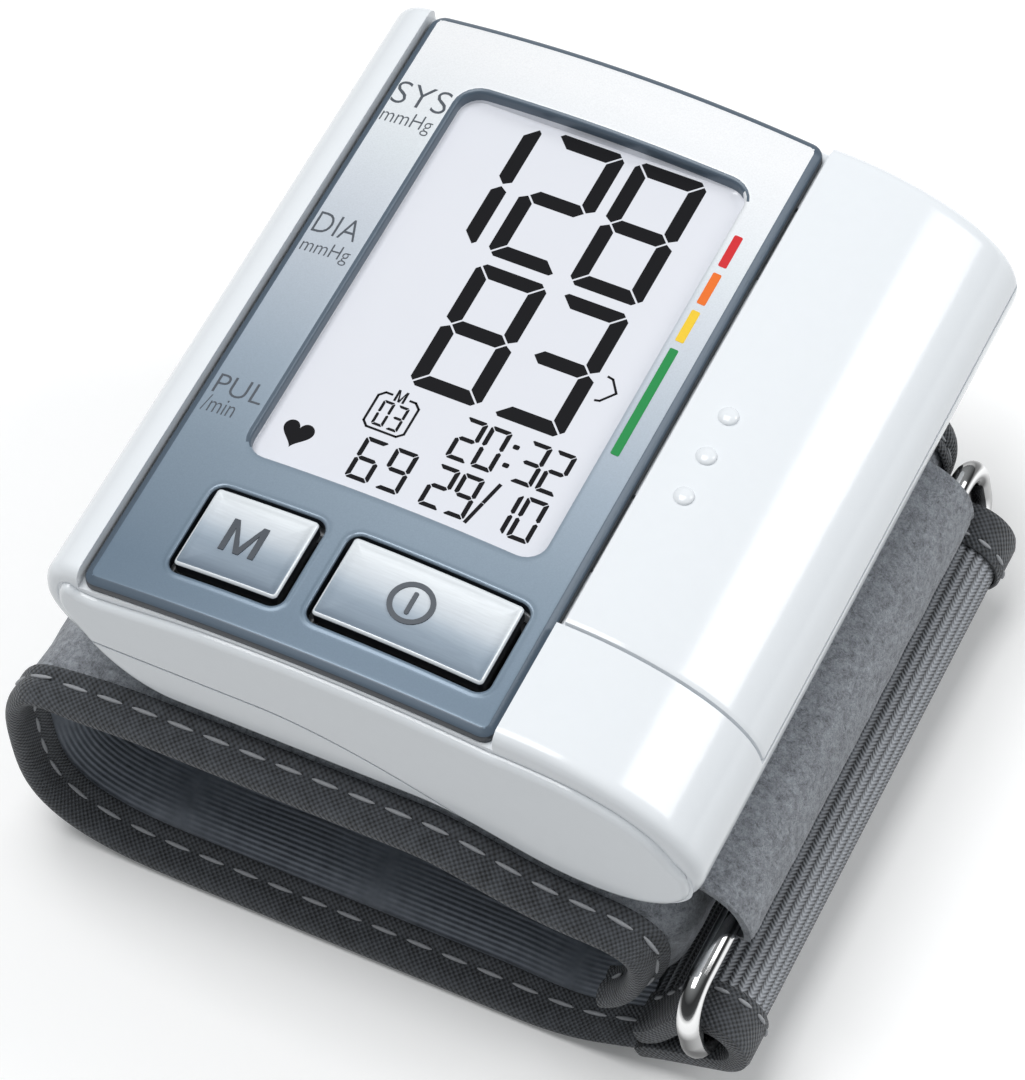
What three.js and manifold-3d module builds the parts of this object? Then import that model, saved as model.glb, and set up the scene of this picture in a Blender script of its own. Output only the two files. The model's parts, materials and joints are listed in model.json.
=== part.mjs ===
// Wrist blood pressure monitor: a two-part case with a display panel, two keys and a battery lid,
// the pump, valve and electronics inside it, and a felt cuff that closes through a metal ring.
// Millimetres, +Z up. X runs across the wrist, Y along it with the keys at -Y, and the part
// stands on the lower run of its cuff.

import * as THREE from "three";
import { mergeVertices } from "three/addons/utils/BufferGeometryUtils.js";
import loadManifold from "manifold-3d";

const wasm = await loadManifold();
wasm.setup();

// Driving dimensions of the case; the panel's top face is at z = 0 until the part is set on its base
const shoulderWidth = 18.7;
const caseDepth = 14.4;
const batteryBulge = 3.5;
const wall = 1.4;
const rimHeight = 0.7;
const endFaceProud = 0.6;
const endFaceInset = 1.9;
const endFillet = 1.2;
const partingGap = 0.3;
const seamDepth = 8.9;
const fit = 0.1;
const clearance = 0.3;

// Driving dimensions of the front panel, display and keys
const stripWidth = 3.9;
const panelThickness = 1.2;
const panelBevel = 0.7;
const panelBow = 0.15;
const panelCrown = 1.4;
const panelSetback = 0.15;
const bandHeight = 1.9;
const panelGap = 0.2;
const deckThickness = 1.4;
const displayWidth = 28.3;
const displayLength = 43.2;
const displayLeft = 6.9;
const displayRight = 4;
const displayFront = 17.8;
const displayBack = 8;
const displayCorner = 2;
const windowLip = 0.5;
const windowThickness = 0.6;
const windowStep = 0.7;
const glassThickness = 1.4;
const frameDepth = 1.6;
const frameWall = 1;
const keyDepth = 8.1;
const keyFront = 4.95;
const memoryKeyWidth = 9.7;
const memoryKeyLeft = 7.2;
const startKeyWidth = 15.8;
const startKeyLeft = 20.5;
const keyProud = 0.5;
const keyGap = 0.7;
const keyCorner = 1.1;
const keyFlange = 0.5;
const keyFlangeThickness = 0.4;
const stemSetback = 1;

// Driving dimensions of the battery bay: two standard cells side by side
const lidFrontLength = 12.7;
const bayFrontInset = 3.4;
const bayBackInset = 3.4;
const lidThickness = 1.4;
const lidDrop = 10.2;
const gripSpacing = 4.5;
const gripRadius = 1.1;
const gripHeight = 0.45;
const cellDiameter = 10.5;
const cellLength = 44.5;
const cellNubRadius = 1.9;
const cellNubLength = 1;
const cellGap = 0.4;
const springLength = 3.6;
const springWire = 0.5;
const springTurns = 3;
const springTaper = 1.5;
const contactThickness = 0.4;

// Driving dimensions of the electronics and the air system
const boardThickness = 1;
const boardLength = 42.2;
const zebraInset = 2.2;
const membraneThickness = 0.5;
const domeDiameter = 5;
const domeHeight = 0.4;
const motorLength = 15;
const motorWidth = 10;
const motorHeight = 8;
const headLength = 11;
const shaftDiameter = 1.5;
const camDiameter = 5;
const camOffset = 0.6;
const manifoldSize = 5;
const tubeDiameter = 3;
const tubeBore = 1.6;
const valveDiameter = 5;
const valveLength = 11;
const plungerTravel = 0.8;
const plungerBoreDepth = 6;
const plungerStickOut = 1.5;
const screwShank = 1.6;
const screwHead = 3;
const screwHeadThickness = 1.1;
const bossDiameter = 3.2;
const postWall = 0.7;

// Driving dimensions of the cuff, its ring and its strap
const cuffWidth = 61.3;
const cuffProud = 2.15;
const feltThickness = 0.8;
const stiffenerThickness = 0.6;
const bladderThickness = 0.6;
const liningThickness = 0.6;
const layerGap = 0.15;
const bindingThickness = 0.6;
const bindingReach = 5.6;
const loopHeight = 26.6;
const loopReach = 4.9;
const loopRoundnessTop = 3;
const loopRoundnessBottom = 3;
const restLength = 31;
const strapRise = 27;
const wireDiameter = 2.8;
const ringDrop = 8.7;
const ringLean = 1;
const ringInnerLength = 59.4;
const ringForward = 1.25;
const ringBend = 3.4;
const strapThickness = 1;
const strapWidth = 58.2;
const strapSlack = 1.2;
const capThickness = 0.4;
const capReach = 4;
const feltLoopWidth = 48;
const feltLoopThickness = 0.7;
const feltLoopSlack = 0.4;
const nippleDiameter = 3.4;
const nippleBore = 1.6;
const pegDiameter = 3;

// Planes and places worked out from the driving dimensions: the case is as wide as the panel and the
// shoulder over the cells, and as long as the cells or the display need
const panelWidth = displayLeft + displayWidth + displayRight;
const caseWidth = stripWidth + 2 * panelGap + panelWidth + shoulderWidth;
const bayLength = 2 * contactThickness + cellLength + 2 * clearance + springLength;
const bayNeed = lidFrontLength + bayFrontInset + bayLength + bayBackInset;
const displayNeed = displayFront + displayLength + displayBack;
const caseLength = Math.max(bayNeed, displayNeed);
const caseRight = caseWidth / 2;
const caseLeft = -caseRight;
const caseFront = -caseLength / 2;
const caseBack = caseLength / 2;
const bodyEnd = caseLength / 2 - endFaceProud;
const undersideZ = -caseDepth;
const bulgeZ = -(caseDepth + batteryBulge);
const floorZ = undersideZ + wall;
const recessLeft = caseLeft + stripWidth;
const panelLeft = recessLeft + panelGap;
const panelRight = panelLeft + panelWidth;
const recessRight = panelRight + panelGap;
const panelMiddle = (panelLeft + panelRight) / 2;
const deckTop = -panelThickness - fit;
const deckBottom = deckTop - deckThickness;
const displayX = panelLeft + displayLeft + displayWidth / 2;
const displayY = caseFront + displayFront + displayLength / 2;
const windowTop = deckTop;
const glassTop = windowTop - windowThickness - fit;
const glassBottom = glassTop - glassThickness;
const boardTop = deckBottom - fit - frameDepth;
const boardBottom = boardTop - boardThickness;
const keyY = caseFront + keyFront + keyDepth / 2;
const lidFront = caseFront + lidFrontLength;
const sides = 16;

// Materials
function finish(color, roughness, metalness) {
  return new THREE.MeshStandardMaterial({ color, roughness, metalness });
}

const whitePlastic = finish("#eceff2", 0.25, 0);
const panelSilver = finish("#93a2af", 0.35, 0.6);
const keySilver = finish("#c3ccd3", 0.3, 0.8);
const clearPlastic = finish("#dfe4ea", 0.05, 0);
const displayGlass = finish("#c9d0cf", 0.15, 0);
const blackPlastic = finish("#24272b", 0.5, 0);
const greyRubber = finish("#6d7277", 0.8, 0);
const boardGreen = finish("#1f6a42", 0.5, 0);
const steel = finish("#b5b8ba", 0.3, 1);
const brass = finish("#b9923f", 0.35, 1);
const chrome = finish("#d9dcdf", 0.08, 1);
const cellSkin = finish("#3b4652", 0.4, 0.2);
const tubeClear = finish("#d6d4c8", 0.3, 0);
const feltGrey = finish("#83868d", 0.95, 0);
const bindingBlack = finish("#2b2f33", 0.85, 0);
const liningNavy = finish("#232a33", 0.9, 0);
const webbingGrey = finish("#62666c", 0.9, 0);
const bladderFilm = finish("#9aa3a8", 0.4, 0);

// Solids and sections
function solidOf(geometry) {
  const bare = geometry.clone();
  bare.deleteAttribute("normal");
  bare.deleteAttribute("uv");
  const merged = mergeVertices(bare);
  const vertProperties = new Float32Array(merged.attributes.position.array);
  const triVerts = new Uint32Array(merged.index.array);
  return new wasm.Manifold(new wasm.Mesh({ numProp: 3, vertProperties, triVerts }));
}

function geometryOf(solid) {
  const mesh = solid.getMesh();
  const geometry = new THREE.BufferGeometry();
  geometry.setAttribute("position", new THREE.BufferAttribute(mesh.vertProperties, 3));
  geometry.setIndex(new THREE.BufferAttribute(mesh.triVerts, 1));
  return geometry;
}

function box(x, y, z) {
  const [width, length, height] = [x[1] - x[0], y[1] - y[0], z[1] - z[0]];
  const geometry = new THREE.BoxGeometry(width, length, height);
  return solidOf(geometry.translate((x[0] + x[1]) / 2, (y[0] + y[1]) / 2, (z[0] + z[1]) / 2));
}

function prismZ(shape, z, bevel = 0) {
  const settings = { depth: z[1] - z[0], bevelEnabled: false, curveSegments: 5 };
  if (bevel > 0) {
    Object.assign(settings, { bevelEnabled: true, bevelSegments: 2, bevelSize: bevel });
    Object.assign(settings, { bevelThickness: bevel, bevelOffset: -bevel });
    settings.depth -= 2 * bevel;
  }
  return solidOf(new THREE.ExtrudeGeometry(shape, settings).translate(0, 0, z[0] + bevel));
}

function prismY(shape, y, bevel = 0) {
  return prismZ(shape, [-y[1], -y[0]], bevel).rotate([90, 0, 0]);
}

function rod(axis, centre, diameter, span, count = sides) {
  const geometry = new THREE.CylinderGeometry(diameter / 2, diameter / 2, span[1] - span[0], count);
  const middle = (span[0] + span[1]) / 2;
  if (axis === "x") {
    geometry.rotateZ(-Math.PI / 2).translate(middle, centre[0], centre[1]);
  } else if (axis === "y") {
    geometry.translate(centre[0], middle, centre[1]);
  } else {
    geometry.rotateX(Math.PI / 2).translate(centre[0], centre[1], middle);
  }
  return solidOf(geometry);
}

function roundedRectangle(x, y, width, length, radius) {
  const shape = new THREE.Shape();
  const [right, top] = [x + width / 2, y + length / 2];
  const [left, bottom] = [x - width / 2, y - length / 2];
  shape.moveTo(left + radius, bottom);
  shape.lineTo(right - radius, bottom);
  shape.absarc(right - radius, bottom + radius, radius, -Math.PI / 2, 0);
  shape.lineTo(right, top - radius);
  shape.absarc(right - radius, top - radius, radius, 0, Math.PI / 2);
  shape.lineTo(left + radius, top);
  shape.absarc(left + radius, top - radius, radius, Math.PI / 2, Math.PI);
  shape.lineTo(left, bottom + radius);
  shape.absarc(left + radius, bottom + radius, radius, Math.PI, Math.PI * 1.5);
  return shape;
}

function sideNormals(points, closed) {
  const last = points.length - 1;
  return points.map((point, index) => {
    const before = points[index > 0 ? index - 1 : closed ? last : 0];
    const after = points[index < last ? index + 1 : closed ? 0 : last];
    const along = after.clone().sub(before).normalize();
    return new THREE.Vector2(-along.y, along.x);
  });
}

function moved(points, distance, closed) {
  const normals = sideNormals(points, closed);
  return points.map((point, index) => {
    const amount = typeof distance === "function" ? distance(point) : distance;
    return point.clone().addScaledVector(normals[index], amount);
  });
}

const assembly = new THREE.Group();
const caseGroup = new THREE.Group();
const insideGroup = new THREE.Group();
const cuffGroup = new THREE.Group();
assembly.add(caseGroup, insideGroup, cuffGroup);

function piece(group, name, solid, material, place = [0, 0, 0]) {
  const mesh = new THREE.Mesh(geometryOf(solid), material);
  mesh.name = name;
  mesh.position.set(...place);
  group.add(mesh);
}

// Case outline across the wrist, drawn anticlockwise from the panel's right edge in x and z:
// along the top to the left edge, down the hull, along the underside and up the right shoulder
const leftWidest = new THREE.Vector2(caseLeft, -4.2);
const undersideLeft = new THREE.Vector2(caseLeft + 12, undersideZ);
const undersideRight = new THREE.Vector2(caseRight - 27, undersideZ);
const bulgeLow = new THREE.Vector2(caseRight - 10, bulgeZ);
const rightWidest = new THREE.Vector2(caseRight, -10);

function undersideCurve() {
  const path = new THREE.Path();
  path.moveTo(undersideLeft.x, undersideLeft.y);
  path.lineTo(undersideRight.x, undersideRight.y);
  const [bendLeft, bendRight] = [undersideRight.x + 6.5, bulgeLow.x - 7];
  path.bezierCurveTo(bendLeft, undersideZ, bendRight, bulgeZ, bulgeLow.x, bulgeZ);
  return path;
}

function caseOutline() {
  const path = new THREE.Path();
  path.moveTo(recessRight, rimHeight);
  path.quadraticCurveTo(panelMiddle, rimHeight + 2 * panelCrown, recessLeft, rimHeight);
  path.bezierCurveTo(recessLeft - 2.4, rimHeight, caseLeft, -1, leftWidest.x, leftWidest.y);
  path.bezierCurveTo(caseLeft, -8.6, undersideLeft.x - 5, undersideZ, undersideLeft.x, undersideLeft.y);
  path.curves.push(...undersideCurve().curves);
  path.currentPoint.copy(bulgeLow);
  path.bezierCurveTo(bulgeLow.x + 6, bulgeZ, caseRight, -14.8, rightWidest.x, rightWidest.y);
  path.bezierCurveTo(caseRight - 0.4, -3.4, recessRight + 8.5, rimHeight, recessRight, rimHeight);
  const points = path.getPoints(7);
  points.pop();
  return points;
}

const outline = caseOutline();
const insetOutline = (distance) => new THREE.Shape(moved(outline, distance, true));
const outlineShape = new THREE.Shape(outline);
const topInset = (point) => {
  const share = THREE.MathUtils.smoothstep(point.y, undersideZ, undersideZ / 2);
  const band = point.y > rimHeight + fit ? bandHeight : 0;
  return endFaceInset * (0.25 + 0.75 * share) + band;
};

// The panel and what carries it are crowned across the wrist, highest along the panel's middle
function crownAt(x) {
  const share = (x - panelMiddle) / (panelWidth / 2);
  return panelCrown * (1 - share * share);
}

function crownPoints(x, z) {
  const points = [];
  for (let step = 0; step <= 10; step += 1) {
    const across = THREE.MathUtils.lerp(x[0], x[1], step / 10);
    points.push(new THREE.Vector2(across, z + crownAt(across)));
  }
  return points;
}

// Both case halves come from one outer body with a raised end face at each end, split at the seam
const bodyEnds = [-bodyEnd, bodyEnd];
const caseEnds = [caseFront, caseBack];
const outerBody = prismY(outlineShape, bodyEnds, endFillet);
const endFaces = prismY(insetOutline(topInset), caseEnds, endFaceProud);
const cavity = prismY(insetOutline(wall), [-bodyEnd + wall, bodyEnd - wall]);
const caseOuter = outerBody.add(endFaces);

function belowSeam(gap) {
  const shape = new THREE.Shape();
  shape.moveTo(caseLeft - 5, bulgeZ - 5);
  shape.lineTo(caseLeft - 5, gap - seamDepth + 0.7);
  shape.lineTo(caseLeft + 4, gap - seamDepth);
  const level = gap - seamDepth;
  shape.lineTo(undersideRight.x - 14, level);
  shape.bezierCurveTo(undersideRight.x - 8.6, level - 0.3, undersideRight.x - 3, level - 1.7,
    undersideRight.x + 8, undersideZ + gap - 1.3);
  shape.lineTo(undersideRight.x + 8, bulgeZ - 5);
  return prismY(shape, [caseFront - 1, caseBack + 1]);
}

// Case screws stand in four corner bosses: a post below and a pillar above
const roomEnd = bodyEnd - wall - clearance;
const screwX = [recessLeft + 3.8, undersideRight.x - 3];
const screwY = [-roomEnd + bossDiameter / 2, roomEnd - bossDiameter / 2];
const screwPlaces = screwX.flatMap((x) => screwY.map((y) => [x, y]));
const headRecess = undersideZ + screwHeadThickness + clearance;
const postTop = headRecess + 1.2;
const postDiameter = screwHead + 2 * clearance + 2 * postWall;
const room = prismY(insetOutline(wall + clearance), [-roomEnd, roomEnd]);

// Battery cells lie along the wrist in the bulge, the outer one lower than the inner one
const outerCellX = caseRight - lidThickness - 2 * cellGap - cellDiameter / 2;
const outerCellZ = bulgeZ + wall + 2 * cellGap + cellDiameter / 2;
const innerCellX = outerCellX - cellDiameter - cellGap / 2;
const innerCellZ = outerCellZ + 2;
const bayFront = lidFront + bayFrontInset;
const bayBack = bayFront + bayLength;
const frontContactY = bayFront + contactThickness;
const backContactY = bayBack - contactThickness;
const partitionX = innerCellX - cellDiameter / 2 - 2 * clearance;

function lidZone(gap) {
  return box([recessRight, caseRight + 2], [lidFront - gap, caseBack + 1], [-lidDrop - gap, rimHeight + 2]);
}

function upperCase() {
  const deckSpan = [recessLeft - wall, recessRight + wall];
  const deckBlock = box(deckSpan, bodyEnds, [deckBottom, rimHeight - wall / 2]);
  const recessTop = rimHeight + 2 * panelCrown;
  const seat = crownPoints([recessRight, recessLeft], deckTop);
  seat.push(new THREE.Vector2(recessLeft, recessTop), new THREE.Vector2(recessRight, recessTop));
  const recess = box([recessLeft, recessRight], [wall - bodyEnd, bodyEnd - wall], [deckTop, recessTop])
    .add(prismY(new THREE.Shape(seat), [caseFront - 1, caseBack + 1]));
  const bayWallTop = deckBottom + deckThickness / 2;
  const bayWalls = box([partitionX, caseRight], [bayFront - wall, bayFront - fit], [bulgeZ, bayWallTop])
    .add(box([partitionX, caseRight], [bayBack + fit, bodyEnd - wall / 2], [bulgeZ, bayWallTop]));
  const insideWalls = prismY(insetOutline(wall / 2), [-bodyEnd + wall / 2, bodyEnd - wall / 2]);
  const ribs = deckBlock.add(bayWalls).intersect(insideWalls);
  let solid = caseOuter.subtract(cavity).add(ribs).subtract(recess);
  const windowSize = 2 * windowLip + 2 * clearance;
  const windowHole = roundedRectangle(displayX, displayY, displayWidth + windowSize,
    displayLength + windowSize, displayCorner);
  solid = solid.subtract(prismZ(windowHole, [deckBottom - 1, deckTop + 1]));
  for (const key of keys) {
    const hole = roundedRectangle(key.x, keyY, key.width + keyGap, keyDepth + keyGap, keyCorner);
    solid = solid.subtract(prismZ(hole, [deckBottom - 1, deckTop + 1]));
  }
  for (const place of boardScrewPlaces) {
    solid = solid.add(rod("z", place, bossDiameter, [boardTop + fit, deckTop - fit]));
  }
  const lidSeat = prismY(insetOutline(lidThickness + clearance), [caseFront, caseBack]);
  solid = solid.subtract(lidZone(0).subtract(lidSeat));
  solid = solid.subtract(box([recessRight - 1.9, recessRight + wall + fit], [lidFront, bayBack - fit],
    [deckBottom - 1, rimHeight + 1]));
  solid = solid.subtract(belowSeam(partingGap));
  for (const place of screwPlaces) {
    solid = solid.add(rod("z", place, bossDiameter, [postTop + clearance, deckTop - fit]).intersect(room));
  }
  for (const place of [...screwPlaces, ...boardScrewPlaces]) {
    const pilot = [undersideZ, deckBottom - fit];
    solid = solid.subtract(rod("z", place, screwShank + clearance, pilot, 8));
  }
  return solid;
}

function lowerCase() {
  let solid = caseOuter.subtract(cavity).intersect(belowSeam(0));
  const postRoom = prismY(insetOutline(wall / 2), [-roomEnd, roomEnd]);
  for (const place of screwPlaces) {
    solid = solid.add(rod("z", place, postDiameter, [undersideZ, postTop]).intersect(postRoom));
  }
  for (const place of screwPlaces) {
    solid = solid.subtract(rod("z", place, screwShank + clearance, [undersideZ - 1, postTop + 1], 8));
    solid = solid.subtract(rod("z", place, screwHead + clearance * 2, [bulgeZ, headRecess]));
  }
  const partition = [partitionX - wall, partitionX];
  solid = solid.add(box(partition, [bayFront, bayBack], [floorZ - wall / 2, boardBottom - clearance * 3]));
  for (const y of pegRows) {
    const railX = [undersideLeft.x, undersideRight.x - 2];
    solid = solid.add(box(railX, [y - 3, y + 3], [padBottom, floorZ - wall / 2]));
  }
  for (const place of pegPlaces) {
    solid = solid.subtract(rod("z", place, pegDiameter + clearance * 2, [padBottom - 1, floorZ + 1]));
  }
  return solid.subtract(rod("z", nipplePlace, nippleDiameter + clearance * 2, [padBottom - 1, floorZ + 1]));
}

function batteryLid() {
  const shell = outerBody.subtract(prismY(insetOutline(lidThickness), [caseFront, caseBack]));
  const zoneY = [lidFront + partingGap, caseBack];
  const zone = box([recessRight + panelGap, caseRight + 2], zoneY, [-lidDrop + partingGap, rimHeight + 2]);
  let solid = shell.intersect(zone);
  const tongueTop = -panelThickness - clearance;
  for (const y of [bayFront + 8, bayBack - 8]) {
    const riserX = [recessRight + panelGap, recessRight + panelGap + wall];
    solid = solid.add(box(riserX, [y - 4, y + 4], [tongueTop - 1, rimHeight - lidThickness / 2]));
    solid = solid.add(box([panelRight - 1.4, riserX[1]], [y - 4, y + 4], [tongueTop - 1, tongueTop]));
  }
  const dome = (gripRadius * gripRadius + gripHeight * gripHeight) / (2 * gripHeight);
  for (let grip = -1; grip <= 1; grip += 1) {
    const ball = new THREE.SphereGeometry(dome, 24, 24);
    ball.rotateX(Math.PI / 2).translate(gripX, gripY + grip * gripSpacing, gripZ + gripHeight - dome);
    const cap = box([gripX - gripRadius, gripX + gripRadius], [lidFront, caseBack],
      [gripZ - gripHeight, gripZ + gripHeight * 2]);
    solid = solid.add(solidOf(ball).intersect(cap));
  }
  return solid;
}

const gripX = recessRight + 4.2;
const gripY = caseFront + 33.9;
const gripZ = outlineHeight(gripX) - 0.05;

function outlineHeight(x) {
  const shoulder = outline.filter((point) => point.x >= recessRight && point.y > -lidDrop);
  const after = shoulder.filter((point) => point.x >= x).sort((a, b) => a.x - b.x)[0];
  const before = shoulder.filter((point) => point.x <= x).sort((a, b) => b.x - a.x)[0] ?? outline[0];
  const share = (x - before.x) / Math.max(after.x - before.x, 1e-6);
  return before.y + share * (after.y - before.y);
}

const keys = [
  { name: "memory", x: panelLeft + memoryKeyLeft + memoryKeyWidth / 2, width: memoryKeyWidth },
  { name: "start", x: panelLeft + startKeyLeft + startKeyWidth / 2, width: startKeyWidth },
];
const boardLeft = recessLeft + 0.8;
const boardRight = partitionX - wall - clearance;
const boardFront = -bodyEnd + wall + clearance;
const boardBack = boardFront + boardLength;
const boardScrewPlaces = [[boardLeft + 2.6, keyY + 7.5], [boardLeft + 2.6, boardBack - 3]];
const pumpY = caseFront + 54.5;
const headX = [partitionX - wall - clearance - headLength, partitionX - wall - clearance];
const motorX = [headX[0] - clearance - motorLength, headX[0] - clearance];
const pumpZ = floorZ + clearance + motorHeight / 2;
const headBack = pumpY - motorWidth / 2;
const manifoldY = [headBack - 3 - manifoldSize, headBack - 3];
const nipplePlace = [headX[0] + 4, (manifoldY[0] + manifoldY[1]) / 2];
const pegRows = [caseFront + 12.5, caseFront + 36.5];
const padBottom = undersideZ - bindingThickness - layerGap;
const pegPlaces = pegRows.flatMap((y) => [undersideLeft.x + 5, undersideRight.x - 7].map((x) => [x, y]));

piece(caseGroup, "upper_case", upperCase(), whitePlastic);
piece(caseGroup, "lower_case", lowerCase(), whitePlastic);
piece(caseGroup, "battery_lid", batteryLid(), whitePlastic);

// Front panel: a crowned plate with bowed ends, a display opening and a well for each key
function frontPanel() {
  const shape = new THREE.Shape();
  const [front, back] = [panelSetback - bodyEnd, bodyEnd - panelSetback];
  shape.moveTo(panelLeft, front);
  shape.quadraticCurveTo(panelMiddle, front - 2 * panelBow, panelRight, front);
  shape.lineTo(panelRight, back);
  shape.quadraticCurveTo(panelMiddle, back + 2 * panelBow, panelLeft, back);
  const section = crownPoints([panelLeft, panelRight], -panelThickness);
  section.push(new THREE.Vector2(panelRight, -panelBevel));
  section.push(...crownPoints([panelRight - panelBevel, panelLeft + panelBevel], 0));
  section.push(new THREE.Vector2(panelLeft, -panelBevel));
  const through = [-2 * panelThickness, 2 * panelCrown];
  const strip = prismY(new THREE.Shape(section), [caseFront - 2, caseBack + 2]);
  let solid = strip.intersect(prismZ(shape, through));
  const opening = roundedRectangle(displayX, displayY, displayWidth, displayLength, displayCorner);
  solid = solid.subtract(prismZ(opening, through));
  for (const key of keys) {
    const well = roundedRectangle(key.x, keyY, key.width + 2 * keyGap, keyDepth + 2 * keyGap, keyCorner);
    solid = solid.subtract(prismZ(well, through));
  }
  return solid;
}

piece(caseGroup, "front_panel", frontPanel(), panelSilver);
const windowShape = roundedRectangle(displayX, displayY, displayWidth + 2 * windowLip,
  displayLength + 2 * windowLip, displayCorner);
const windowSpan = [windowTop - windowThickness, windowTop];
const stepShape = roundedRectangle(displayX, displayY, displayWidth - clearance,
  displayLength - clearance, displayCorner);
const windowFront = prismZ(stepShape, [windowTop - fit, windowTop + windowStep]);
piece(caseGroup, "display_window", prismZ(windowShape, windowSpan).add(windowFront), clearPlastic);

// Keys: a rounded cap above the deck, and a stem with a flange that the deck holds down
const flangeTop = deckBottom - fit;
const flangeBottom = flangeTop - keyFlangeThickness;
for (const key of keys) {
  const cap = roundedRectangle(key.x, keyY, key.width, keyDepth, keyCorner);
  const stemDepth = keyDepth - stemSetback;
  const stemY = keyY + stemSetback / 2;
  const stem = roundedRectangle(key.x, stemY, key.width, stemDepth, keyCorner);
  const flangeReach = keyGap + keyFlange;
  const flange = roundedRectangle(key.x, stemY + flangeReach / 2, key.width + 2 * flangeReach,
    stemDepth + flangeReach, keyCorner);
  const capBottom = deckTop + 2 * clearance + fit;
  const capTop = crownAt(key.x) + keyProud;
  const solid = prismZ(cap, [capBottom, capTop], 0.3)
    .add(prismZ(stem, [flangeTop - fit, capBottom + fit]))
    .add(prismZ(flange, [flangeBottom, flangeTop]));
  piece(caseGroup, `${key.name}_button`, solid, keySilver);
}

// Circuit board under the keys and the display's front half, notched round the front case bosses
function circuitBoard() {
  let solid = box([boardLeft, boardRight], [boardFront, boardBack], [boardBottom, boardTop]);
  const notch = bossDiameter / 2 + clearance;
  for (const [x, y] of screwPlaces.filter((place) => place[1] < 0)) {
    const outside = x < displayX ? [boardLeft - 1, x + notch] : [x - notch, boardRight + 1];
    solid = solid.subtract(box(outside, [boardFront - 1, y + notch], [boardBottom - 1, boardTop + 1]));
  }
  for (const place of boardScrewPlaces) {
    solid = solid.subtract(rod("z", place, screwShank + clearance, [boardBottom - 1, boardTop + 1], 8));
  }
  return solid;
}

function keypadMembrane() {
  const left = keys[0].x - keys[0].width / 2 - keyGap;
  const right = Math.min(keys[1].x + keys[1].width / 2 + keyGap, boardRight);
  const rowDepth = keyDepth / 2 + keyGap;
  const rows = [keyY - keyDepth / 2 + stemSetback, keyY + rowDepth];
  let solid = box([left, right], rows, [boardTop, boardTop + membraneThickness]);
  for (const key of keys) {
    const hole = rod("z", [key.x, keyY], domeDiameter + 2 * clearance, [boardTop - 1, boardTop + 2]);
    solid = solid.subtract(hole);
  }
  return solid;
}

function displayFrame() {
  const glassWidth = displayWidth + 2 * fit;
  const glassLength = displayLength + 2 * fit;
  const around = (margin) => roundedRectangle(displayX, displayY, glassWidth + 2 * margin,
    glassLength + 2 * margin, 1);
  const outer = around(frameWall);
  const pocket = around(clearance);
  const opening = around(-1.5);
  const pocketFloor = glassBottom - fit;
  return prismZ(outer, [boardTop, deckBottom - fit])
    .subtract(prismZ(pocket, [pocketFloor, deckBottom + 1]))
    .subtract(prismZ(opening, [boardTop - 1, pocketFloor + 1]))
    .subtract(box([displayX - zebraHalf - clearance, displayX + zebraHalf + clearance],
      [displayY - displayLength / 2, zebraY + 1 + clearance], [boardTop - 1, pocketFloor + 1]));
}

const zebraY = displayY - displayLength / 2 + 1.2;
const zebraHalf = displayWidth / 2 - zebraInset;
const glassShape = roundedRectangle(displayX, displayY, displayWidth + 2 * fit,
  displayLength + 2 * fit, 0.6);
piece(insideGroup, "lcd_glass", prismZ(glassShape, [glassBottom, glassTop]), displayGlass);
piece(insideGroup, "lcd_frame", displayFrame(), blackPlastic);
const zebraSpan = [boardTop, glassBottom];
const zebraX = [displayX - zebraHalf, Math.min(displayX + zebraHalf, boardRight)];
piece(insideGroup, "zebra_strip", box(zebraX, [zebraY - 1, zebraY + 1], zebraSpan), greyRubber);
piece(insideGroup, "circuit_board", circuitBoard(), boardGreen);
piece(insideGroup, "keypad_membrane", keypadMembrane(), greyRubber);
for (const key of keys) {
  const dome = rod("z", [0, 0], domeDiameter, [0, domeHeight]);
  piece(insideGroup, `${key.name}_switch_dome`, dome, steel, [key.x, keyY, boardTop]);
}

// Parts soldered to the underside of the board
function soldered(name, x, y, size, material) {
  const solid = box([-size[0] / 2, size[0] / 2], [-size[1] / 2, size[1] / 2], [-size[2], 0]);
  piece(insideGroup, name, solid, material, [x, y, boardBottom]);
}

const boardMiddle = (boardLeft + boardRight) / 2;
soldered("main_chip", boardMiddle - 6, keyY + 9, [8, 8, 1.3], blackPlastic);
soldered("memory_chip", boardMiddle + 3, keyY + 10, [4, 5, 1.2], blackPlastic);
soldered("quartz_crystal", boardMiddle - 6, keyY + 16, [6, 2.4, 2], steel);
soldered("driver_chip", boardMiddle - 2, keyY, [4, 4, 1.2], blackPlastic);
const buzzer = rod("z", [0, 0], 9, [-2.4, 0], 24).subtract(rod("z", [0, 0], 1.6, [-3, -1.6], 8));
piece(insideGroup, "buzzer", buzzer, blackPlastic, [boardMiddle - 5, keyY + 24, boardBottom]);
const sensorPlace = [nipplePlace[0], keyY + 17];
const sensorPortZ = boardBottom - 2.4;
const sensorBody = box([sensorPlace[0] - 3, sensorPlace[0] + 3], [sensorPlace[1] - 3, sensorPlace[1] + 3],
  [boardBottom - 4, boardBottom]);
const sensorPortSpan = [sensorPlace[1], sensorPlace[1] + 5];
const sensorPort = rod("y", [sensorPlace[0], sensorPortZ], tubeBore, sensorPortSpan, 8);
piece(insideGroup, "pressure_sensor", sensorBody.add(sensorPort), blackPlastic);

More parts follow.
